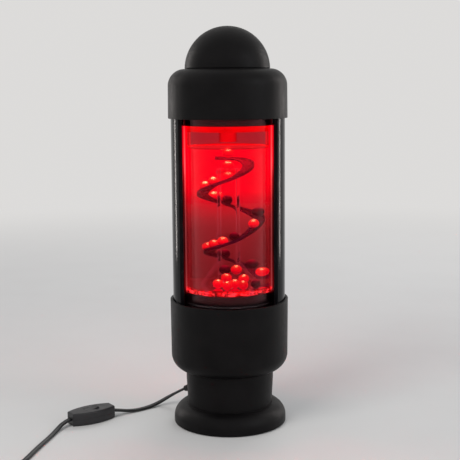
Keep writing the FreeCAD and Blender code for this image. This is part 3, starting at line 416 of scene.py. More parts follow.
@finish
def bead_material(net, shade, lights, shine=0.1, from_below=0.0):
    """A polished bead, lit from above. lights are the painted lamp light and shade on it, from its
    underside to its top.

    from_below is how far up that row the floor's painted light lifts the undersides of the lowest
    beads."""
    share = net.math("MAXIMUM", net.share(net.upward(), -1.0, 1.0),
                     net.band(net.height(), *FLOOR_LIGHT_REACH, 0.0, from_below))
    own_tone = net.value("Attribute", output="Fac", attribute_name="bead_tone")
    swirl = net.noise(260.0, 3.0)
    marbled = net.math("ADD", net.times(own_tone, 0.6), net.times(swirl, 0.4))
    net.surface(net.principled(
        Base_Color=net.ramp(marbled, [(0.2, tone(shade, 0.72)), (0.8, tone(shade, 1.1))]),
        Roughness=net.band(swirl, 0.3, 0.7, 0.23, 0.28), IOR=1.45, Specular_IOR_Level=shine,
        Specular_Tint=(1.0, 0.7, 0.6, 1),
        Emission_Color=net.ramp(share, [(i / (len(lights) - 1), light)
                                        for i, light in enumerate(lights)]),
        Emission_Strength=net.band(own_tone, 0.0, 1.0, 0.85, 1.05)))


@finish
def ramp_material(net):
    """Smoky violet plastic that lets some light through, with painted red lamp light near its foot
    and higher up.
    """
    shade = colours().ramp
    cloud = net.noise(75.0, 4.0)
    lines = net.noise(1400.0, 2.0, net.stretched((1.0, 1.0, 0.3)))
    # Painted red lamp light: near the foot from the tank's lit floor, and higher up from the lid
    # lamps.
    glow = along_height(net, LIT_SPAN, [(0.147, 0.17), (0.16, 0.11), (0.168, 0.0), (0.2, 0.0),
                                        (0.228, 0.035), (0.25, 0.07)])
    solid = net.principled(
        Base_Color=net.ramp(cloud, [(0.25, tone(shade, 0.75)), (0.75, tone(shade, 1.35))]),
        Roughness=net.band(cloud, 0.3, 0.7, 0.16, 0.3), Normal=net.bump(lines, 0.25, 0.00003),
        Specular_IOR_Level=0.03, Emission_Color=(1.0, 0.03, 0.09, 1), Emission_Strength=glow)
    light = net.shader("BsdfTranslucent", Color=(0.3, 0.02, 0.15, 1))
    through = net.shader("BsdfTransparent", Color=(0.62, 0.16, 0.3, 1))
    net.surface(net.mixed(0.35, net.mixed(0.25, solid, light), through))


@finish
def lamp_material(net):
    """Lit diodes behind their yellow covers, between dull resistors."""
    spots = net.noise(900.0, 2.0)
    net.surface(net.principled(
        Base_Color=net.ramp(spots, [(0.3, (0.75, 0.6, 0.12)), (0.7, (0.9, 0.75, 0.2))]),
        Roughness=0.35, Emission_Color=(1.0, 0.12, 0.08, 1),
        Emission_Strength=net.band(net.height(), *DIODE_FACE, 0.05, 5.0)))


@finish
def floor_material(net):
    """A pale floor that keeps the lamp's shadow near it and turns into the backdrop further out."""
    shade = colours().floor
    spots = net.ramp(net.noise(9.0, 4.0), [(0.3, tone(shade, 0.99)), (0.7, tone(shade, 1.01))])
    matte = net.principled(Base_Color=spots, Roughness=0.75, Specular_IOR_Level=0.25)
    far = net.shader("Emission", Color=(*shade, 1), Strength=1.0)
    distance_out = net.band(net.length(net.place()), *BACKDROP_NEAR)
    net.surface(net.mixed(net.times(distance_out, seen_rays(net)), matte, far))


def seen_rays(net):
    """1 for what is seen, reflected or looked at through glass, and 0 for what lights the lamp."""
    rays = net.add("ShaderNodeLightPath").outputs
    total = net.math("ADD", rays["Is Camera Ray"], rays["Is Glossy Ray"])
    return net.math("ADD", total, rays["Is Transmission Ray"], clamp=True)


MATERIALS = {}


def make_materials():
    shades = colours()
    MATERIALS.update({
        "black_shell": moulded(
            "moulded_black", shades.shell, rough=0.44, spread=0.07, depth=0.00004, specular=0.11),
        "black_gloss": moulded(
            "gloss_black", shades.strut, rough=0.12, spread=0.02, grain=700.0, depth=0.00001,
            stretch=(1.0, 1.0, 0.1), specular=0.05),
        "black_seat": moulded("satin_black", (0.005, 0.002, 0.0025), rough=0.4, specular=0.2),
        "clear_acrylic": tank_material("tank_acrylic"),
        "floor_clear": tank_floor_material("floor_acrylic"),
        "guide_clear": guide_material("guide_acrylic"),
        "riser_clear": riser_material("riser_acrylic"),
        "cone_clear": cone_material("cone_acrylic"),
        "liquid": liquid_material("lit_liquid"),
        "ramp_plastic": ramp_material("smoky_ramp"),
        # The beads' rows of colours below are their painted lamp light, from underside to top.
        "bead_bright": bead_material(
            "bright_bead", shades.bright_bead, (
                (0.1, 0.0, 0.008), (0.42, 0.0, 0.009), (0.82, 0.0, 0.01), (0.8, 0.006, 0.01),
                (0.5, 0.012, 0.012)), from_below=0.42),
        "bead_rising": bead_material(
            "rising_bead", shades.bright_bead, (
                (0.75, 0.0, 0.011), (0.9, 0.0, 0.011), (0.9, 0.002, 0.011)), shine=0.07),
        "bead_dark": bead_material(
            "dark_bead", shades.dark_bead, (
                (0.035, 0.001, 0.004), (0.02, 0.0, 0.001), (0.014, 0.0, 0.001), (0.065, 0.0, 0.003),
                (0.32, 0.001, 0.015)), shine=0.01),
        "pump_plastic": moulded("natural_plastic", (0.74, 0.73, 0.7), rough=0.45, variation=0.05),
        "magnet": moulded(
            "plated_magnet", (0.2, 0.2, 0.21), rough=0.3, metallic=0.9, variation=0.1),
        "steel": moulded(
            "zinc_steel", (0.6, 0.6, 0.62), rough=0.28, metallic=1.0, grain=900.0,
            stretch=(1.0, 1.0, 6.0), variation=0.08),
        "motor_steel": moulded(
            "drawn_steel", (0.52, 0.52, 0.54), rough=0.3, metallic=1.0, grain=1100.0,
            stretch=(1.0, 1.0, 0.08), variation=0.1),
        "cast_ballast": moulded(
            "cast_iron", (0.11, 0.105, 0.1), rough=0.62, metallic=0.8, grain=700.0, depth=0.00025,
            variation=0.3),
        "rubber": moulded(
            "black_rubber", (0.022, 0.022, 0.023), rough=0.7, depth=0.00006, specular=0.3),
        "board": moulded(
            "green_board", (0.02, 0.13, 0.05), rough=0.32, grain=500.0, variation=0.18),
        "components": moulded("component_cases", (0.05, 0.05, 0.06), rough=0.4),
        "lamp_diodes": lamp_material("lit_diodes"),
        "lead_cover": moulded("lead_cover", (0.42, 0.03, 0.03), rough=0.4),
        "cord_cover": moulded(
            "flex_cover", (0.012, 0.012, 0.013), rough=0.38, grain=1800.0, depth=0.00003),
        "switch_plastic": moulded(
            "switch_black", (0.014, 0.013, 0.015), rough=0.45, depth=0.00005),
        "brass": moulded(
            "plated_brass", (0.72, 0.56, 0.27), rough=0.24, metallic=1.0, grain=900.0,
            stretch=(0.2, 1.0, 1.0), variation=0.07),
    })


# ---- meshes ----
def link(obj):
    bpy.context.scene.collection.objects.link(obj)
    return obj


def object_from(name, bm):
    mesh = bpy.data.meshes.new(name)
    bm.to_mesh(mesh)
    bm.free()
    return link(bpy.data.objects.new(name, mesh))


def smooth(obj, sharp=CREASE):
    obj.data.shade_smooth()
    obj.data.set_sharp_from_angle(angle=math.radians(sharp))


def settle(obj):
    """Turns what the modifiers make into the plain mesh."""
    bpy.context.view_layer.update()
    graph = bpy.context.evaluated_depsgraph_get()
    mesh = bpy.data.meshes.new_from_object(obj.evaluated_get(graph), depsgraph=graph)
    obj.modifiers.clear()
    old, obj.data = obj.data, mesh
    mesh.name = obj.name
    bpy.data.meshes.remove(old)


def dress(obj, look, *nodes, sharp=CREASE):
    """The last step for a piece: its material, and the nodes that it stands for."""
    obj.data.materials.clear()
    obj.data.materials.append(MATERIALS[look])
    if sharp:
        smooth(obj, sharp)
    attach(obj, BODY_OF[nodes[0]])
    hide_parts(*nodes)


def modify(obj, kind, **settings):
    """Gives the object a modifier with its settings and makes the result its mesh."""
    modifier = obj.modifiers.new(kind.lower(), kind)
    for name, value in settings.items():
        setattr(modifier, name, value)
    settle(obj)


def softened(name, node, width):
    """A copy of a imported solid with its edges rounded."""
    bm = bmesh.new()
    bm.from_mesh(frame["nodes"][node].data)
    bmesh.ops.remove_doubles(bm, verts=bm.verts, dist=2e-6)
    bmesh.ops.dissolve_limit(bm, angle_limit=math.radians(0.3), verts=bm.verts, edges=bm.edges,
                             delimit={"NORMAL"})
    obj = object_from(name, bm)
    modify(obj, "BEVEL", width=width, segments=2, limit_method="ANGLE",
           angle_limit=math.radians(32.0), miter_outer="MITER_ARC")
    smooth(obj)
    modify(obj, "WEIGHTED_NORMAL", weight=100, keep_sharp=True)
    return obj


WIDE_ROUNDING = 0.002  # a rounding from this radius up gets more steps


def rounded(corners):
    """The points of a closed (r, z) outline of (r, z, rounding) corners."""
    points = []
    for i, (r, z, radius) in enumerate(corners):
        here = Vector((r, z))
        before = Vector(corners[i - 1][:2]) - here
        after = Vector(corners[(i + 1) % len(corners)][:2]) - here
        if radius <= 0:
            points.append(here)
            continue
        half = before.angle(after) / 2
        setback = min(radius / math.tan(half), 0.999 * min(before.length, after.length))
        radius = setback * math.tan(half)
        before, after = before.normalized(), after.normalized()
        centre = here + (before + after).normalized() * radius / math.sin(half)
        start = here + before * setback - centre
        end = here + after * setback - centre
        turn = start.angle_signed(end)
        steps = 4 if radius < WIDE_ROUNDING else 16
        for k in range(steps + 1):
            spin = Matrix.Rotation(-turn * k / steps, 2)
            points.append(centre + spin @ start)
    return points


def braced(outline, margin=0.0003):
    """Adds points near the ends of every long run, so that smooth shading leaves it straight."""
    points = []
    for here, there in zip(outline, outline[1:] + outline[:1]):
        points.append(here)
        run = there - here
        if run.length > 4 * margin:
            points += [here + run.normalized() * margin, there - run.normalized() * margin]
    return points


def lathe(name, corners, segments=192):
    """A closed solid turned about Z from a rounded outline."""
    outline = braced(rounded(corners))
    bm = bmesh.new()
    rings = []
    for p in outline:
        if p.x < 1e-7:
            rings.append([bm.verts.new((0, 0, p.y))])
        else:
            angles = (2 * math.pi * k / segments for k in range(segments))
            rings.append([bm.verts.new((p.x * math.cos(a), p.x * math.sin(a), p.y))
                          for a in angles])
    for low, high in zip(rings, rings[1:] + rings[:1]):
        if len(low) == 1 and len(high) == 1:
            continue
        for k in range(segments):
            corner = [low[k % len(low)], low[(k + 1) % segments % len(low)],
                      high[(k + 1) % segments % len(high)], high[k % len(high)]]
            bm.faces.new(list(dict.fromkeys(corner)))
    bmesh.ops.remove_doubles(bm, verts=bm.verts, dist=1e-7)
    bmesh.ops.recalc_face_normals(bm, faces=bm.faces)
    return object_from(name, bm)


# ---- beads, ramp and slots, as Geometry Nodes ----
def new_tree(name, **sizes_given):
    """A geometry tree with a geometry, the named sizes with their defaults, and a material."""
    tree = bpy.data.node_groups.new(name, "GeometryNodeTree")

    def socket(title, kind, way="INPUT"):
        return tree.interface.new_socket(title, in_out=way, socket_type="NodeSocket" + kind)

    socket("Geometry", "Geometry")
    socket("Geometry", "Geometry", "OUTPUT")
    for title, default in sizes_given.items():
        socket(title, "Int" if isinstance(default, int) else "Float").default_value = default
    socket("Material", "Material")
    net = Net(tree)
    net.given = net.add("NodeGroupInput").outputs
    return tree, net


def close_tree(net, geometry):
    """Ends a tree in Realize Instances and Set Material."""
    real = net.shape("RealizeInstances", {0: geometry})
    painted = net.shape("SetMaterial", {"Geometry": real, "Material": net.given["Material"]})
    net.add("NodeGroupOutput", {0: painted})


def grow(obj, tree, **values):
    """Runs a tree on an object and keeps the plain mesh."""
    modifier = obj.modifiers.new(tree.name, "NODES")
    modifier.node_group = tree
    for item in tree.interface.items_tree:
        if item.item_type == "SOCKET" and item.in_out == "INPUT" and item.name in values:
            modifier[item.identifier] = values[item.name]
    settle(obj)
    return obj


def bead_tree():
    """Puts a polished bead on every point, each with a tone of its own."""
    tree, net = new_tree("bead_cluster", Radius=0.0047, Seed=3)
    given = net.given
    ball = net.shape("MeshUVSphere", {"Segments": 40, "Rings": 24, "Radius": given["Radius"]})
    turn = net.add("FunctionNodeRandomValue", {0: (0, 0, 0), 1: (6.28, 6.28, 6.28),
                                               "Seed": given["Seed"]}, data_type="FLOAT_VECTOR")
    placed = net.shape("InstanceOnPoints", {
        "Points": given["Geometry"], "Instance": ball, "Rotation": turn.outputs[0]})
    shade = net.add("FunctionNodeRandomValue", {"Seed": given["Seed"]}, data_type="FLOAT")
    close_tree(net, net.shape("StoreNamedAttribute", {
        "Geometry": placed, "Name": "bead_tone", "Value": shade.outputs[1]},
        data_type="FLOAT", domain="INSTANCE"))
    return tree


def ribbon_tree():
    """Sweeps a track with an outer rim along the given line."""
    tree, net = new_tree("ramp_ribbon", Width=0.009, Thickness=0.0012, Up=0.0008, Down=0.0024,
                         Wall=0.001, Rounding=0.0003)
    given = net.given
    under, foot = net.times(given["Thickness"], -1.0), net.times(given["Down"], -1.0)
    width = net.times(given["Width"], -1.0)  # outwards is the profile's negative side
    wall = net.math("ADD", width, given["Wall"])
    corners = [(0.0, 0.0), (wall, 0.0), (wall, given["Up"]), (width, given["Up"]), (width, foot),
               (wall, foot), (wall, under), (0.0, under)]
    chosen = net.add("GeometryNodeIndexSwitch", {0: net.shape("InputIndex")}, data_type="VECTOR")
    while len(chosen.index_switch_items) < len(corners):
        chosen.index_switch_items.new()
    for i, corner in enumerate(corners):
        net.feed(chosen.inputs[i + 1], net.vector(*corner))
    outline = net.shape("SetPosition", {
        "Geometry": net.shape("MeshCircle", {"Vertices": len(corners)}),
        "Position": chosen.outputs[0]})
    profile = net.shape("FilletCurve", {
        "Curve": net.shape("MeshToCurve", {"Mesh": outline}), "Count": 3,
        "Radius": given["Rounding"]}, mode="POLY")
    line = net.shape("MeshToCurve", {"Mesh": given["Geometry"]})
    level = net.shape("SetCurveNormal", {"Curve": line}, mode="Z_UP")
    close_tree(net, net.shape("CurveToMesh", {
        "Curve": level, "Profile Curve": profile, "Fill Caps": True}))
    return tree


def slot_tree():
    """Cuts a ring of slots through the given plate."""
    tree, net = new_tree("slotted_plate", Count=12, Radius=0.04, Long=0.011, Wide=0.0034,
                         Deep=0.02, Height=0.0, Start=0.0)
    given = net.given
    circle = net.shape("MeshCircle", {"Vertices": given["Count"], "Radius": given["Radius"]})
    size = net.vector(given["Wide"], given["Long"], given["Deep"])
    share = net.math("DIVIDE", net.shape("InputIndex"), given["Count"])
    placed = net.shape("InstanceOnPoints", {
        "Points": circle, "Instance": net.shape("MeshCube", {"Size": size}),
        "Rotation": net.vector(z=net.times(share, 2 * math.pi))})
    moved = net.shape("Transform", {
        "Geometry": placed, "Translation": net.vector(z=given["Height"]),
        "Rotation": net.vector(z=given["Start"])})
    close_tree(net, net.shape("MeshBoolean", {
        "Mesh 1": given["Geometry"], "Mesh 2": net.shape("RealizeInstances", {0: moved})},
        operation="DIFFERENCE", solver="EXACT"))
    return tree


# ---- flex ----
# From the strain relief to the switch, from the switch to the coil, and from the coil to the plug.
LAMP_SIDE_ROUTE = [
    (-0.0484, 0.0406, 0.0208), (-0.0565, 0.0460, 0.0155), (-0.0670, 0.0485, 0.0090),
    (-0.0780, 0.0445, 0.0034), (-0.0880, 0.0355, 0.0016), (-0.0990, 0.0265, 0.0015),
    (-0.1090, 0.0204, 0.0026), (-0.1180, 0.0155, 0.0050), (-0.1250, 0.0113, 0.0067)]
PLUG_SIDE_ROUTE = [
    (-0.1650, -0.0173, 0.0067), (-0.1712, -0.0240, 0.0050), (-0.1756, -0.0360, 0.0022),
    (-0.1790, -0.0540, 0.0015), (-0.1834, -0.0730, 0.0015), (-0.1874, -0.0920, 0.0015),
    (-0.1910, -0.1130, 0.0015), (-0.1966, -0.1360, 0.0015), (-0.2018, -0.1600, 0.0015)]
TAIL_ROUTE = [
    (-0.1480, -0.2312, 0.0032), (-0.1330, -0.2286, 0.0020), (-0.1180, -0.2226, 0.0042),
    (-0.1030, -0.2180, 0.0066)]
COIL_CENTRE = Vector((-0.1620, -0.1900, 0))
COIL_RADII = (0.0415, 0.0359, 0.0303, 0.0247)
COIL_LAYERS = (0.0015, 0.0044)
COIL_STEPS = 16  # points in each turn
# The spline runs inside its points; this puts its turns back at their radii.
COIL_EASE = 1.0 / (0.5 + 0.5 * math.cos(math.pi / COIL_STEPS)) ** 0.5
# Each turn starts at the coil's west point. These are the angles from there, in degrees, between
# which it steps to the next column or climbs to the upper layer.
STEP_INWARDS = (240, 300)
CLIMB = (180, 240)
STEP_OUTWARDS = (120, 180)


def eased(angle, start, end):
    t = min(1.0, max(0.0, (angle - start) / (end - start)))
    return t * t * (3 - 2 * t)


def coil_place(turn, angle):
    """Radius and height of the flex at an angle of a turn of the coil."""
    r, layers, last = COIL_RADII, COIL_LAYERS, len(COIL_RADII) - 1
    if turn < last:
        return r[turn] + (r[turn + 1] - r[turn]) * eased(angle, *STEP_INWARDS), layers[0]
    if turn == last:
        return r[last], layers[0] + (layers[1] - layers[0]) * eased(angle, *CLIMB)
    column = 2 * last + 1 - turn
    share = eased(angle, *STEP_OUTWARDS)
    return r[column] + (r[max(column - 1, 0)] - r[column]) * share, layers[1]


def coil_route(turns):
    """The coil's turns, anticlockwise from the west point and on to the south point."""
    points = []
    for k in range(turns * COIL_STEPS + COIL_STEPS // 4 + 1):
        turn, step = divmod(k, COIL_STEPS)
        angle = 360.0 * step / COIL_STEPS
        radius, height = coil_place(turn, angle)
        if turn == turns:
            radius = COIL_RADII[0]
        a = math.radians(180 + angle)
        spot = COIL_CENTRE + Vector((math.cos(a), math.sin(a), 0)) * radius * COIL_EASE
        points.append((spot.x, spot.y, height))
    return points


def route_line(name, points):
    """The smooth line through a route, as the points of its NURBS spline."""
    curve = bpy.data.curves.new(name, "CURVE")
    curve.dimensions = "3D"
    curve.resolution_u = 10
    spline = curve.splines.new("NURBS")
    spline.points.add(len(points) - 1)
    for knot, place in zip(spline.points, points):
        knot.co = (*place, 1.0)
    spline.order_u = 3
    spline.use_endpoint_u = True
    holder = link(bpy.data.objects.new(name, curve))
    bpy.context.view_layer.update()
    mesh = bpy.data.meshes.new_from_object(holder)
    line = [v.co.copy() for v in mesh.vertices]
    bpy.data.objects.remove(holder)
    bpy.data.curves.remove(curve)
    bpy.data.meshes.remove(mesh)
    return line


def twin_section(width, thickness):
    """Two round cores side by side with a shallow groove between them, as (across, up) points."""
    core = thickness / 2
    reach = width / 2 - core
    side = [(reach + core * math.cos(math.radians(a)), core * math.sin(math.radians(a)))
            for a in range(-90, 91, 20)]
    waist = [(reach * 0.55, core * 0.93), (reach * 0.2, core * 0.74)]
    right = [(x, -y) for x, y in reversed(waist)] + side + waist
    return right + [(-x, -y) for x, y in right]


def flex_mesh(name, route):
    """A flat twin flex along a route, kept level, and the line that it follows."""
    line = route_line(name, route)
    section = twin_section(sizes().cord_width, sizes().cord_thickness)
    bm = bmesh.new()
    rings = []
    for i, here in enumerate(line):
        along = (line[min(i + 1, len(line) - 1)] - line[max(i - 1, 0)]).normalized()
        side = UP.cross(along).normalized()
        high = along.cross(side)
        rings.append([bm.verts.new(here + side * x + high * y) for x, y in section])
    count = len(section)
    for a, b in zip(rings, rings[1:]):
        for k in range(count):
            bm.faces.new((a[k], a[(k + 1) % count], b[(k + 1) % count], b[k]))
    bm.faces.new(list(reversed(rings[0])))
    bm.faces.new(rings[-1])
    bmesh.ops.recalc_face_normals(bm, faces=bm.faces)
    return object_from(name, bm), line


# ---- ramp line ----
RAMP_START, RAMP_END, RAMP_STEP = 104, -684, 4  # in degrees
RAMP_ROUNDING = 0.00025
RAMP_LEAN, RAMP_LEAN_Z = 0.0967, 0.2353  # shift towards +X per metre below this height
# Rows of angle, height of the track's upper face and outer radius.
RAMP_ROWS = (
    (135, 0.2735, 0.0226), (90, 0.2722, 0.0226), (45, 0.2709, 0.0226), (0, 0.2661, 0.0228),
    (-90, 0.2526, 0.0232), (-180, 0.2383, 0.0238), (-225, 0.2320, 0.0240), (-270, 0.2241, 0.0245),
    (-315, 0.2162, 0.0250), (-360, 0.2104, 0.0255), (-405, 0.2018, 0.0256), (-450, 0.1918, 0.0255),
    (-495, 0.1850, 0.0253), (-540, 0.1792, 0.0251), (-585, 0.1729, 0.0248), (-630, 0.1642, 0.0245),
    (-655, 0.1563, 0.0245), (-675, 0.1506, 0.0245), (-700, 0.1454, 0.0245))


def between(rows, angle, column):
    """A value between the two middle rows of four, on a smooth curve through them."""
    angles = [row[0] for row in rows]
    values = [row[column] for row in rows]
    step = angles[2] - angles[1]
    t = (angle - angles[1]) / step
    slope_in = (values[2] - values[0]) / (angles[2] - angles[0])
    slope_out = (values[3] - values[1]) / (angles[3] - angles[1])
    return ((2 * t**3 - 3 * t**2 + 1) * values[1] + (t**3 - 2 * t**2 + t) * step * slope_in
            + (3 * t**2 - 2 * t**3) * values[2] + (t**3 - t**2) * step * slope_out)


def ramp_at(angle):
    """Height of the track's upper face and its outer radius."""
    rows, last = RAMP_ROWS, len(RAMP_ROWS) - 1
    for i in range(last):
        if rows[i][0] >= angle >= rows[i + 1][0]:
            near = (rows[max(i - 1, 0)], rows[i], rows[i + 1], rows[min(i + 2, last)])
            return between(near, angle, 1), between(near, angle, 2)
    raise ValueError("the angle is off the ramp")


def ramp_point(angle, inset, lift=0.0):
    """A point of the ribbon, inset from its outer edge."""
    (z, outer), a = ramp_at(angle), math.radians(angle)
    r = outer - inset
    return Vector((r * math.cos(a) + RAMP_LEAN * (RAMP_LEAN_Z - z), r * math.sin(a), z + lift))


# The beads' angles on the ramp, places on the floor, and centres where they lie on other beads.
RAMP_BEADS_BRIGHT = (-125, -155, -239.5, -395, -476.5, -502.5, -537, -676)
RAMP_BEADS_DARK = (-264, -333, -448.5, -602, -652)
FLOOR_BEADS_BRIGHT = ((-0.0096, -0.0240), (-0.0017, -0.0375), (0.0050, -0.0244), (0.0132, -0.0342))
FLOOR_BEADS_DARK = ((0.0245, -0.0280),)
UPPER_BEADS_BRIGHT = ((-0.0023, -0.0234, 0.1564), (0.0130, -0.0252, 0.1554),
                      (0.0062, -0.0170, 0.1637))
UPPER_BEADS_DARK = ((-0.0036, -0.0174, 0.1636),)
LIFTED_BEADS = ((0, 0, 0.2796), (0, 0, 0.2672), (0, 0, 0.2564))
TOUCH_GAP = 0.0001  # left between pieces that lie on each other


def bead_on_ramp(angle):
    """The centre of a bead that rests on the sloping track, against the top of its rim."""
    s = sizes()
    radius = s.bead_radius
    inset = s.rim_wall + math.sqrt(radius**2 - (radius - s.rim_up) ** 2) + TOUCH_GAP
    rise = ramp_at(angle + RAMP_STEP)[0] - ramp_at(angle - RAMP_STEP)[0]
    run = 2 * math.radians(RAMP_STEP) * (ramp_at(angle)[1] - inset)
    return ramp_point(angle, inset, radius * math.hypot(1, rise / run) + 2 * TOUCH_GAP)


def bead_on_floor(x, y):
    return Vector((x, y, FLOOR_HIGH.z + sizes().bead_radius + TOUCH_GAP))


def bead_places(on_ramp, on_floor, above):
    return ([bead_on_ramp(a) for a in on_ramp] + [bead_on_floor(*p) for p in on_floor]
            + [Vector(p) for p in above])


# ---- operators ----
class LampOperator:
    """What every step shares: it runs its build function."""
    bl_options = {"REGISTER", "UNDO"}

    def execute(self, context):
        self.build()
        return {"FINISHED"}


def area_lamp(name, place, target, width, height, power, shade, hidden_from=()):
    """An area lamp aimed at a point. hidden_from are the kinds of ray that don't meet it."""
    data = bpy.data.lights.new(name, "AREA")
    data.shape = "RECTANGLE"
    data.size, data.size_y = width, height
    data.energy = power
    data.color = shade
    lamp = link(bpy.data.objects.new(name, data))
    aim = (Vector(target) - Vector(place)).to_track_quat("-Z", "Y")
    lamp.matrix_world = Matrix.Translation(place) @ aim.to_matrix().to_4x4()
    for ray in hidden_from:
        setattr(lamp, "visible_" + ray, False)
    return lamp


def light_only(lamp_name, *pieces):
    """Makes a lamp light the named pieces and nothing else."""
    group = bpy.data.collections.new(lamp_name + "_pieces")
    for name in pieces:
        group.objects.link(bpy.data.objects[name])
    bpy.data.objects[lamp_name].light_linking.receiver_collection = group


class SetStage(LampOperator, bpy.types.Operator):
    """Make the pale floor, the studio lamps, the world and the camera"""
    bl_idname = "motion_lamp.stage"
    bl_label = "Stage"

    SENSOR = 36.0  # width in millimetres
    FOCAL_PX, SHIFT_PX = 1009.98, 1.35
    EYE, PITCH, ROLL = (0, -1.01982, 0.35058), -0.1465, -0.008  # metres and radians
    # Name, place, aim, width, height, power in watts, colour, and the rays that don't meet it.
    LAMPS = (
        ("key", (-0.9, -1.1, 1.35), (0, 0, 0.2), 0.9, 0.9, 14.0, (1.0, 0.98, 0.95), ("glossy",)),
        ("fill", (1.3, -0.7, 0.8), (0, 0, 0.2), 1.0, 1.0, 5.0, (0.95, 0.97, 1.0)),
        ("back", (0.5, 1.3, 1.2), (0, 0, 0.25), 1.0, 0.6, 8.0, (1.0, 1.0, 1.0), ("glossy",)),
        ("left_strip", (-0.77, 0.64, 0.35), (0, 0, 0.24), 0.035, 0.9, 1.9, (1.0, 0.93, 0.9),
         ("camera", "diffuse")),
        ("right_strip", (0.82, 0.57, 0.35), (0, 0, 0.24), 0.035, 0.9, 2.6, (1.0, 0.93, 0.9),
         ("camera", "diffuse")),
        ("lid_lamp", (0, 0, 0.2985), (0, 0, 0.1), 0.03, 0.03, 0.16, (1.0, 0.05, 0.03),
         ("camera", "transmission")))

    def build(self):
        self.camera()
        self.world()
        self.floor()
        for lamp in self.LAMPS:
            area_lamp(*lamp)

    def camera(self):
        data = bpy.data.cameras.new("view")
        data.sensor_width = self.SENSOR
        data.lens = self.SENSOR * self.FOCAL_PX / IMAGE_SIDE
        data.shift_x = self.SHIFT_PX / IMAGE_SIDE
        data.clip_start, data.clip_end = 0.05, 50.0
        camera = link(bpy.data.objects.new("view", data))
        turn = Euler((math.pi / 2 + self.PITCH, 0, 0)).to_matrix().to_4x4()
        roll = Matrix.Rotation(self.ROLL, 4, "Z")
        camera.matrix_world = Matrix.Translation(self.EYE) @ turn @ roll
        bpy.context.scene.camera = camera
        bpy.context.scene.view_settings.view_transform = "Standard"

    def world(self):
        world = bpy.data.worlds.new("studio")
        world.use_nodes = True
        world.node_tree.nodes.clear()
        net = Net(world.node_tree)
        light = net.shader("Background", Color=(0.93, 0.96, 1.0, 1), Strength=0.42)
        seen = net.shader("Background", Color=(*colours().floor, 1), Strength=1.0)
        net.add("ShaderNodeOutputWorld", {"Surface": net.mixed(seen_rays(net), light, seen)})
        bpy.context.scene.world = world

    def floor(self):
        bm = bmesh.new()
        bmesh.ops.create_grid(bm, x_segments=24, y_segments=24, size=9.0)
        floor = object_from("floor", bm)
        floor.data.materials.append(floor_material("pale_floor"))


class MakeFlex(LampOperator, bpy.types.Operator):
    """Lay the flat twin flex from the gland to the switch, into its coil and on to the plug"""
    bl_idname = "motion_lamp.flex"
    bl_label = "Flex"

    def build(self):
        s = sizes()
        lead, line = flex_mesh("flex_lamp_side", LAMP_SIDE_ROUTE)
        dress(lead, "cord_cover", "cord_lamp_side", sharp=50)
        route = PLUG_SIDE_ROUTE + coil_route(s.coil_turns) + TAIL_ROUTE
        lead, line = flex_mesh("flex_plug_side", route)
        dress(lead, "cord_cover", "cord_plug_side", "cord_coil", "cord_tail", sharp=50)


class SoftenPieces(LampOperator):
    """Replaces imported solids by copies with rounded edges."""
    EDGE = ""  # the size that they take
    PIECES = ()  # each piece's name, node, look and share of that size

    def build(self):
        edge = getattr(sizes(), self.EDGE)
        for name, node, look, share in self.PIECES:
            dress(softened(name, node, edge * share), look, node, sharp=None)


class MakeShells(SoftenPieces, bpy.types.Operator):
    """Round the edges of the black shells, the struts and the foot"""
    bl_idname = "motion_lamp.shells"
    bl_label = "Black shells"
    EDGE = "shell_edge"
    PIECES = (("foot", "foot_shell", "black_shell", 1),
              ("lower_collar", "base_collar", "black_shell", 1),
              ("upper_collar", "top_collar", "black_shell", 1),
              ("dome", "dome_cap", "black_shell", 1),
              ("left_strut", "side_strut_left", "black_gloss", 1.4),
              ("right_strut", "side_strut_right", "black_gloss", 1.4),
              ("seat", "tank_seat", "black_seat", 0.8),
              ("lid", "tank_lid", "black_seat", 0.8),
              ("foot_ring", "foot_pad_ring", "rubber", 1))

    def build(self):
        super().build()
        for strip in ("left_strip", "right_strip"):
            light_only(strip, "foot", "lower_collar", "upper_collar", "dome", "left_strut",
                       "right_strut")


class MakeSmallPieces(SoftenPieces, bpy.types.Operator):
    """Round the edges of the switch, the plug, the gland and the stopper"""
    bl_idname = "motion_lamp.small_pieces"
    bl_label = "Small pieces"
    EDGE = "fine_edge"
    PIECES = (("gland", "cord_gland", "switch_plastic", 1),
              ("flex_sleeve", "strain_relief", "rubber", 1),
              ("switch_bottom", "switch_base", "switch_plastic", 1),
              ("switch_top", "switch_cover", "switch_plastic", 1),
              ("rocker", "switch_rocker", "switch_plastic", 1),
              ("plug", "plug_body", "switch_plastic", 1),
              ("stopper", "filling_plug", "rubber", 1))


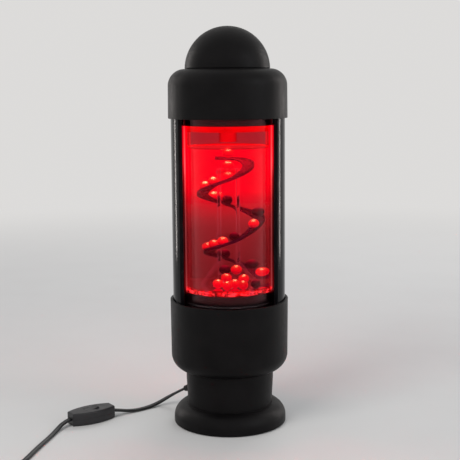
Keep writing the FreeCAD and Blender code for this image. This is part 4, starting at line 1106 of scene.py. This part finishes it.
class MakeTank(LampOperator, bpy.types.Operator):
    """Make the clear tank, its floor and the liquid"""
    bl_idname = "motion_lamp.tank"
    bl_label = "Tank and liquid"

    FINE = 256  # faces round the tube and the liquid
    TUBE_EDGE, FLOOR_EDGE, HOLE_EDGE = 0.0004, 0.0006, 0.0003
    HOLE_R, SLOT_CIRCLE_R, FIRST_SLOT = 0.005, 0.0402, math.radians(15)

    def build(self):
        self.tube()
        self.floor()
        self.liquid()

    def tube(self):
        corners = [(r, z, self.TUBE_EDGE) for r, z in (
            (TANK_IN_R, TANK_LOW.z), (TANK_HIGH.x, TANK_LOW.z), (TANK_HIGH.x, TANK_HIGH.z),
            (TANK_IN_R, TANK_HIGH.z))]
        tube = lathe("tank", corners, self.FINE)
        dress(tube, "clear_acrylic", "tank_tube")

    def floor(self):
        low, high, outer = FLOOR_LOW.z, FLOOR_HIGH.z, FLOOR_HIGH.x
        plate = lathe("slotted_floor", [
            (self.HOLE_R, low, self.HOLE_EDGE), (outer, low, self.FLOOR_EDGE),
            (outer, high, self.FLOOR_EDGE), (self.HOLE_R, high, self.HOLE_EDGE)])
        grow(plate, slot_tree(), Radius=self.SLOT_CIRCLE_R, Height=(low + high) / 2,
             Start=self.FIRST_SLOT, Material=MATERIALS["floor_clear"])
        dress(plate, "floor_clear", "floor_disc")

    def liquid(self):
        s = sizes()
        low = FLOOR_HIGH.z + TOUCH_GAP
        level, radius, climb = s.water_level, s.water_radius, s.meniscus
        liquid = lathe("liquid_body", [
            (0, low, 0), (radius, low, 0), (radius, level + climb, 0),
            (radius - climb, level + climb * 0.18, climb * 1.2), (radius - 3 * climb, level, climb),
            (0, level, 0)], self.FINE)
        dress(liquid, "liquid", "liquid", sharp=60)


class MakeRamp(LampOperator, bpy.types.Operator):
    """Sweep the spiral ramp"""
    bl_idname = "motion_lamp.ramp"
    bl_label = "Spiral ramp"

    def build(self):
        s = sizes()
        bm = bmesh.new()
        line = [bm.verts.new(ramp_point(angle, s.ramp_width))
                for angle in range(RAMP_START, RAMP_END - 1, -RAMP_STEP)]
        for a, b in zip(line, line[1:]):
            bm.edges.new((a, b))
        ramp = object_from("ramp", bm)
        grow(ramp, ribbon_tree(), Width=s.ramp_width, Thickness=s.ramp_thickness, Up=s.rim_up,
             Down=s.rim_down, Wall=s.rim_wall, Rounding=RAMP_ROUNDING,
             Material=MATERIALS["ramp_plastic"])
        dress(ramp, "ramp_plastic", "spiral_ramp", sharp=60)


class MakeBeads(LampOperator, bpy.types.Operator):
    """Put the beads on the ramp, on the tank's floor and in the riser"""
    bl_idname = "motion_lamp.beads"
    bl_label = "Beads"

    def build(self):
        tree = bead_tree()
        bright = bead_places(RAMP_BEADS_BRIGHT, FLOOR_BEADS_BRIGHT, UPPER_BEADS_BRIGHT)
        dark = bead_places(RAMP_BEADS_DARK, FLOOR_BEADS_DARK, UPPER_BEADS_DARK)
        lifted = bead_places((), (), LIFTED_BEADS)
        for name, node, places, seed, look in (
                ("bright_beads", "beads_bright", bright, 3, "bead_bright"),
                ("dark_beads", "beads_dark", dark, 5, "bead_dark"),
                ("rising_beads", "beads_lifted", lifted, 8, "bead_rising")):
            bm = bmesh.new()
            for place in places:
                bm.verts.new(place)
            beads = grow(object_from(name, bm), tree, Radius=sizes().bead_radius, Seed=seed,
                         Material=MATERIALS[look])
            dress(beads, look, node, sharp=180)
        self.sparkle()

    def sparkle(self):
        """A lamp under the liquid's surface that only the bright beads reflect."""
        place = (0, 0, sizes().water_level - 0.0004)
        lamp = area_lamp("bead_sparkle", place, (0, 0, 0.1), 0.085, 0.085, 4.5, (1.0, 0.38, 0.18),
                         ("camera", "transmission", "diffuse"))
        lamp.data.spread = math.radians(70)
        lamp.data.use_shadow = False
        light_only("bead_sparkle", "bright_beads", "rising_beads")


class FinishSolids(LampOperator, bpy.types.Operator):
    """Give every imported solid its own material"""
    bl_idname = "motion_lamp.finish_solids"
    bl_label = "Packed solids"

    OWN_LOOK = {"riser_tube": "riser_clear", "bead_guide": "cone_clear",
                "ramp_brackets": "cone_clear", "light_guide": "guide_clear",
                "lamp_diodes": "lamp_diodes"}

    def build(self):
        for name, obj in frame["nodes"].items():
            look = self.OWN_LOOK.get(name, SLOT_OF[name])
            if not obj.material_slots:
                raise RuntimeError("%s has no material slot" % name)
            for place in obj.material_slots:
                place.material = MATERIALS[look]


class LampPanel(bpy.types.Panel):
    """Lists the lamp's sizes, colours and building steps"""
    bl_label = "Motion Lamp"
    bl_idname = "VIEW3D_PT_motion_lamp"
    bl_space_type = "VIEW_3D"
    bl_region_type = "UI"
    bl_category = "Motion Lamp"

    def draw(self, context):
        layout = self.layout
        for group in (context.scene.lamp_sizes, context.scene.lamp_colours):
            box = layout.box()
            for name in group.__annotations__:
                box.prop(group, name)
        for step in STEPS:
            layout.operator(step.bl_idname)


STEPS = (SetStage, MakeSmallPieces, MakeFlex, MakeShells, MakeTank, MakeRamp, MakeBeads,
         FinishSolids)
CLASSES = (LampSizes, LampColours) + STEPS + (LampPanel,)


def register():
    for cls in CLASSES:
        bpy.utils.register_class(cls)
    bpy.types.Scene.lamp_sizes = PointerProperty(type=LampSizes)
    bpy.types.Scene.lamp_colours = PointerProperty(type=LampColours)


def unregister():
    del bpy.types.Scene.lamp_colours
    del bpy.types.Scene.lamp_sizes
    for cls in reversed(CLASSES):
        bpy.utils.unregister_class(cls)


def main():
    """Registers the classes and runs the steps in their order."""
    register()
    make_materials()
    for step in STEPS:
        group, name = step.bl_idname.split(".")
        getattr(getattr(bpy.ops, group), name)()


if __name__ == "__main__":
    main()
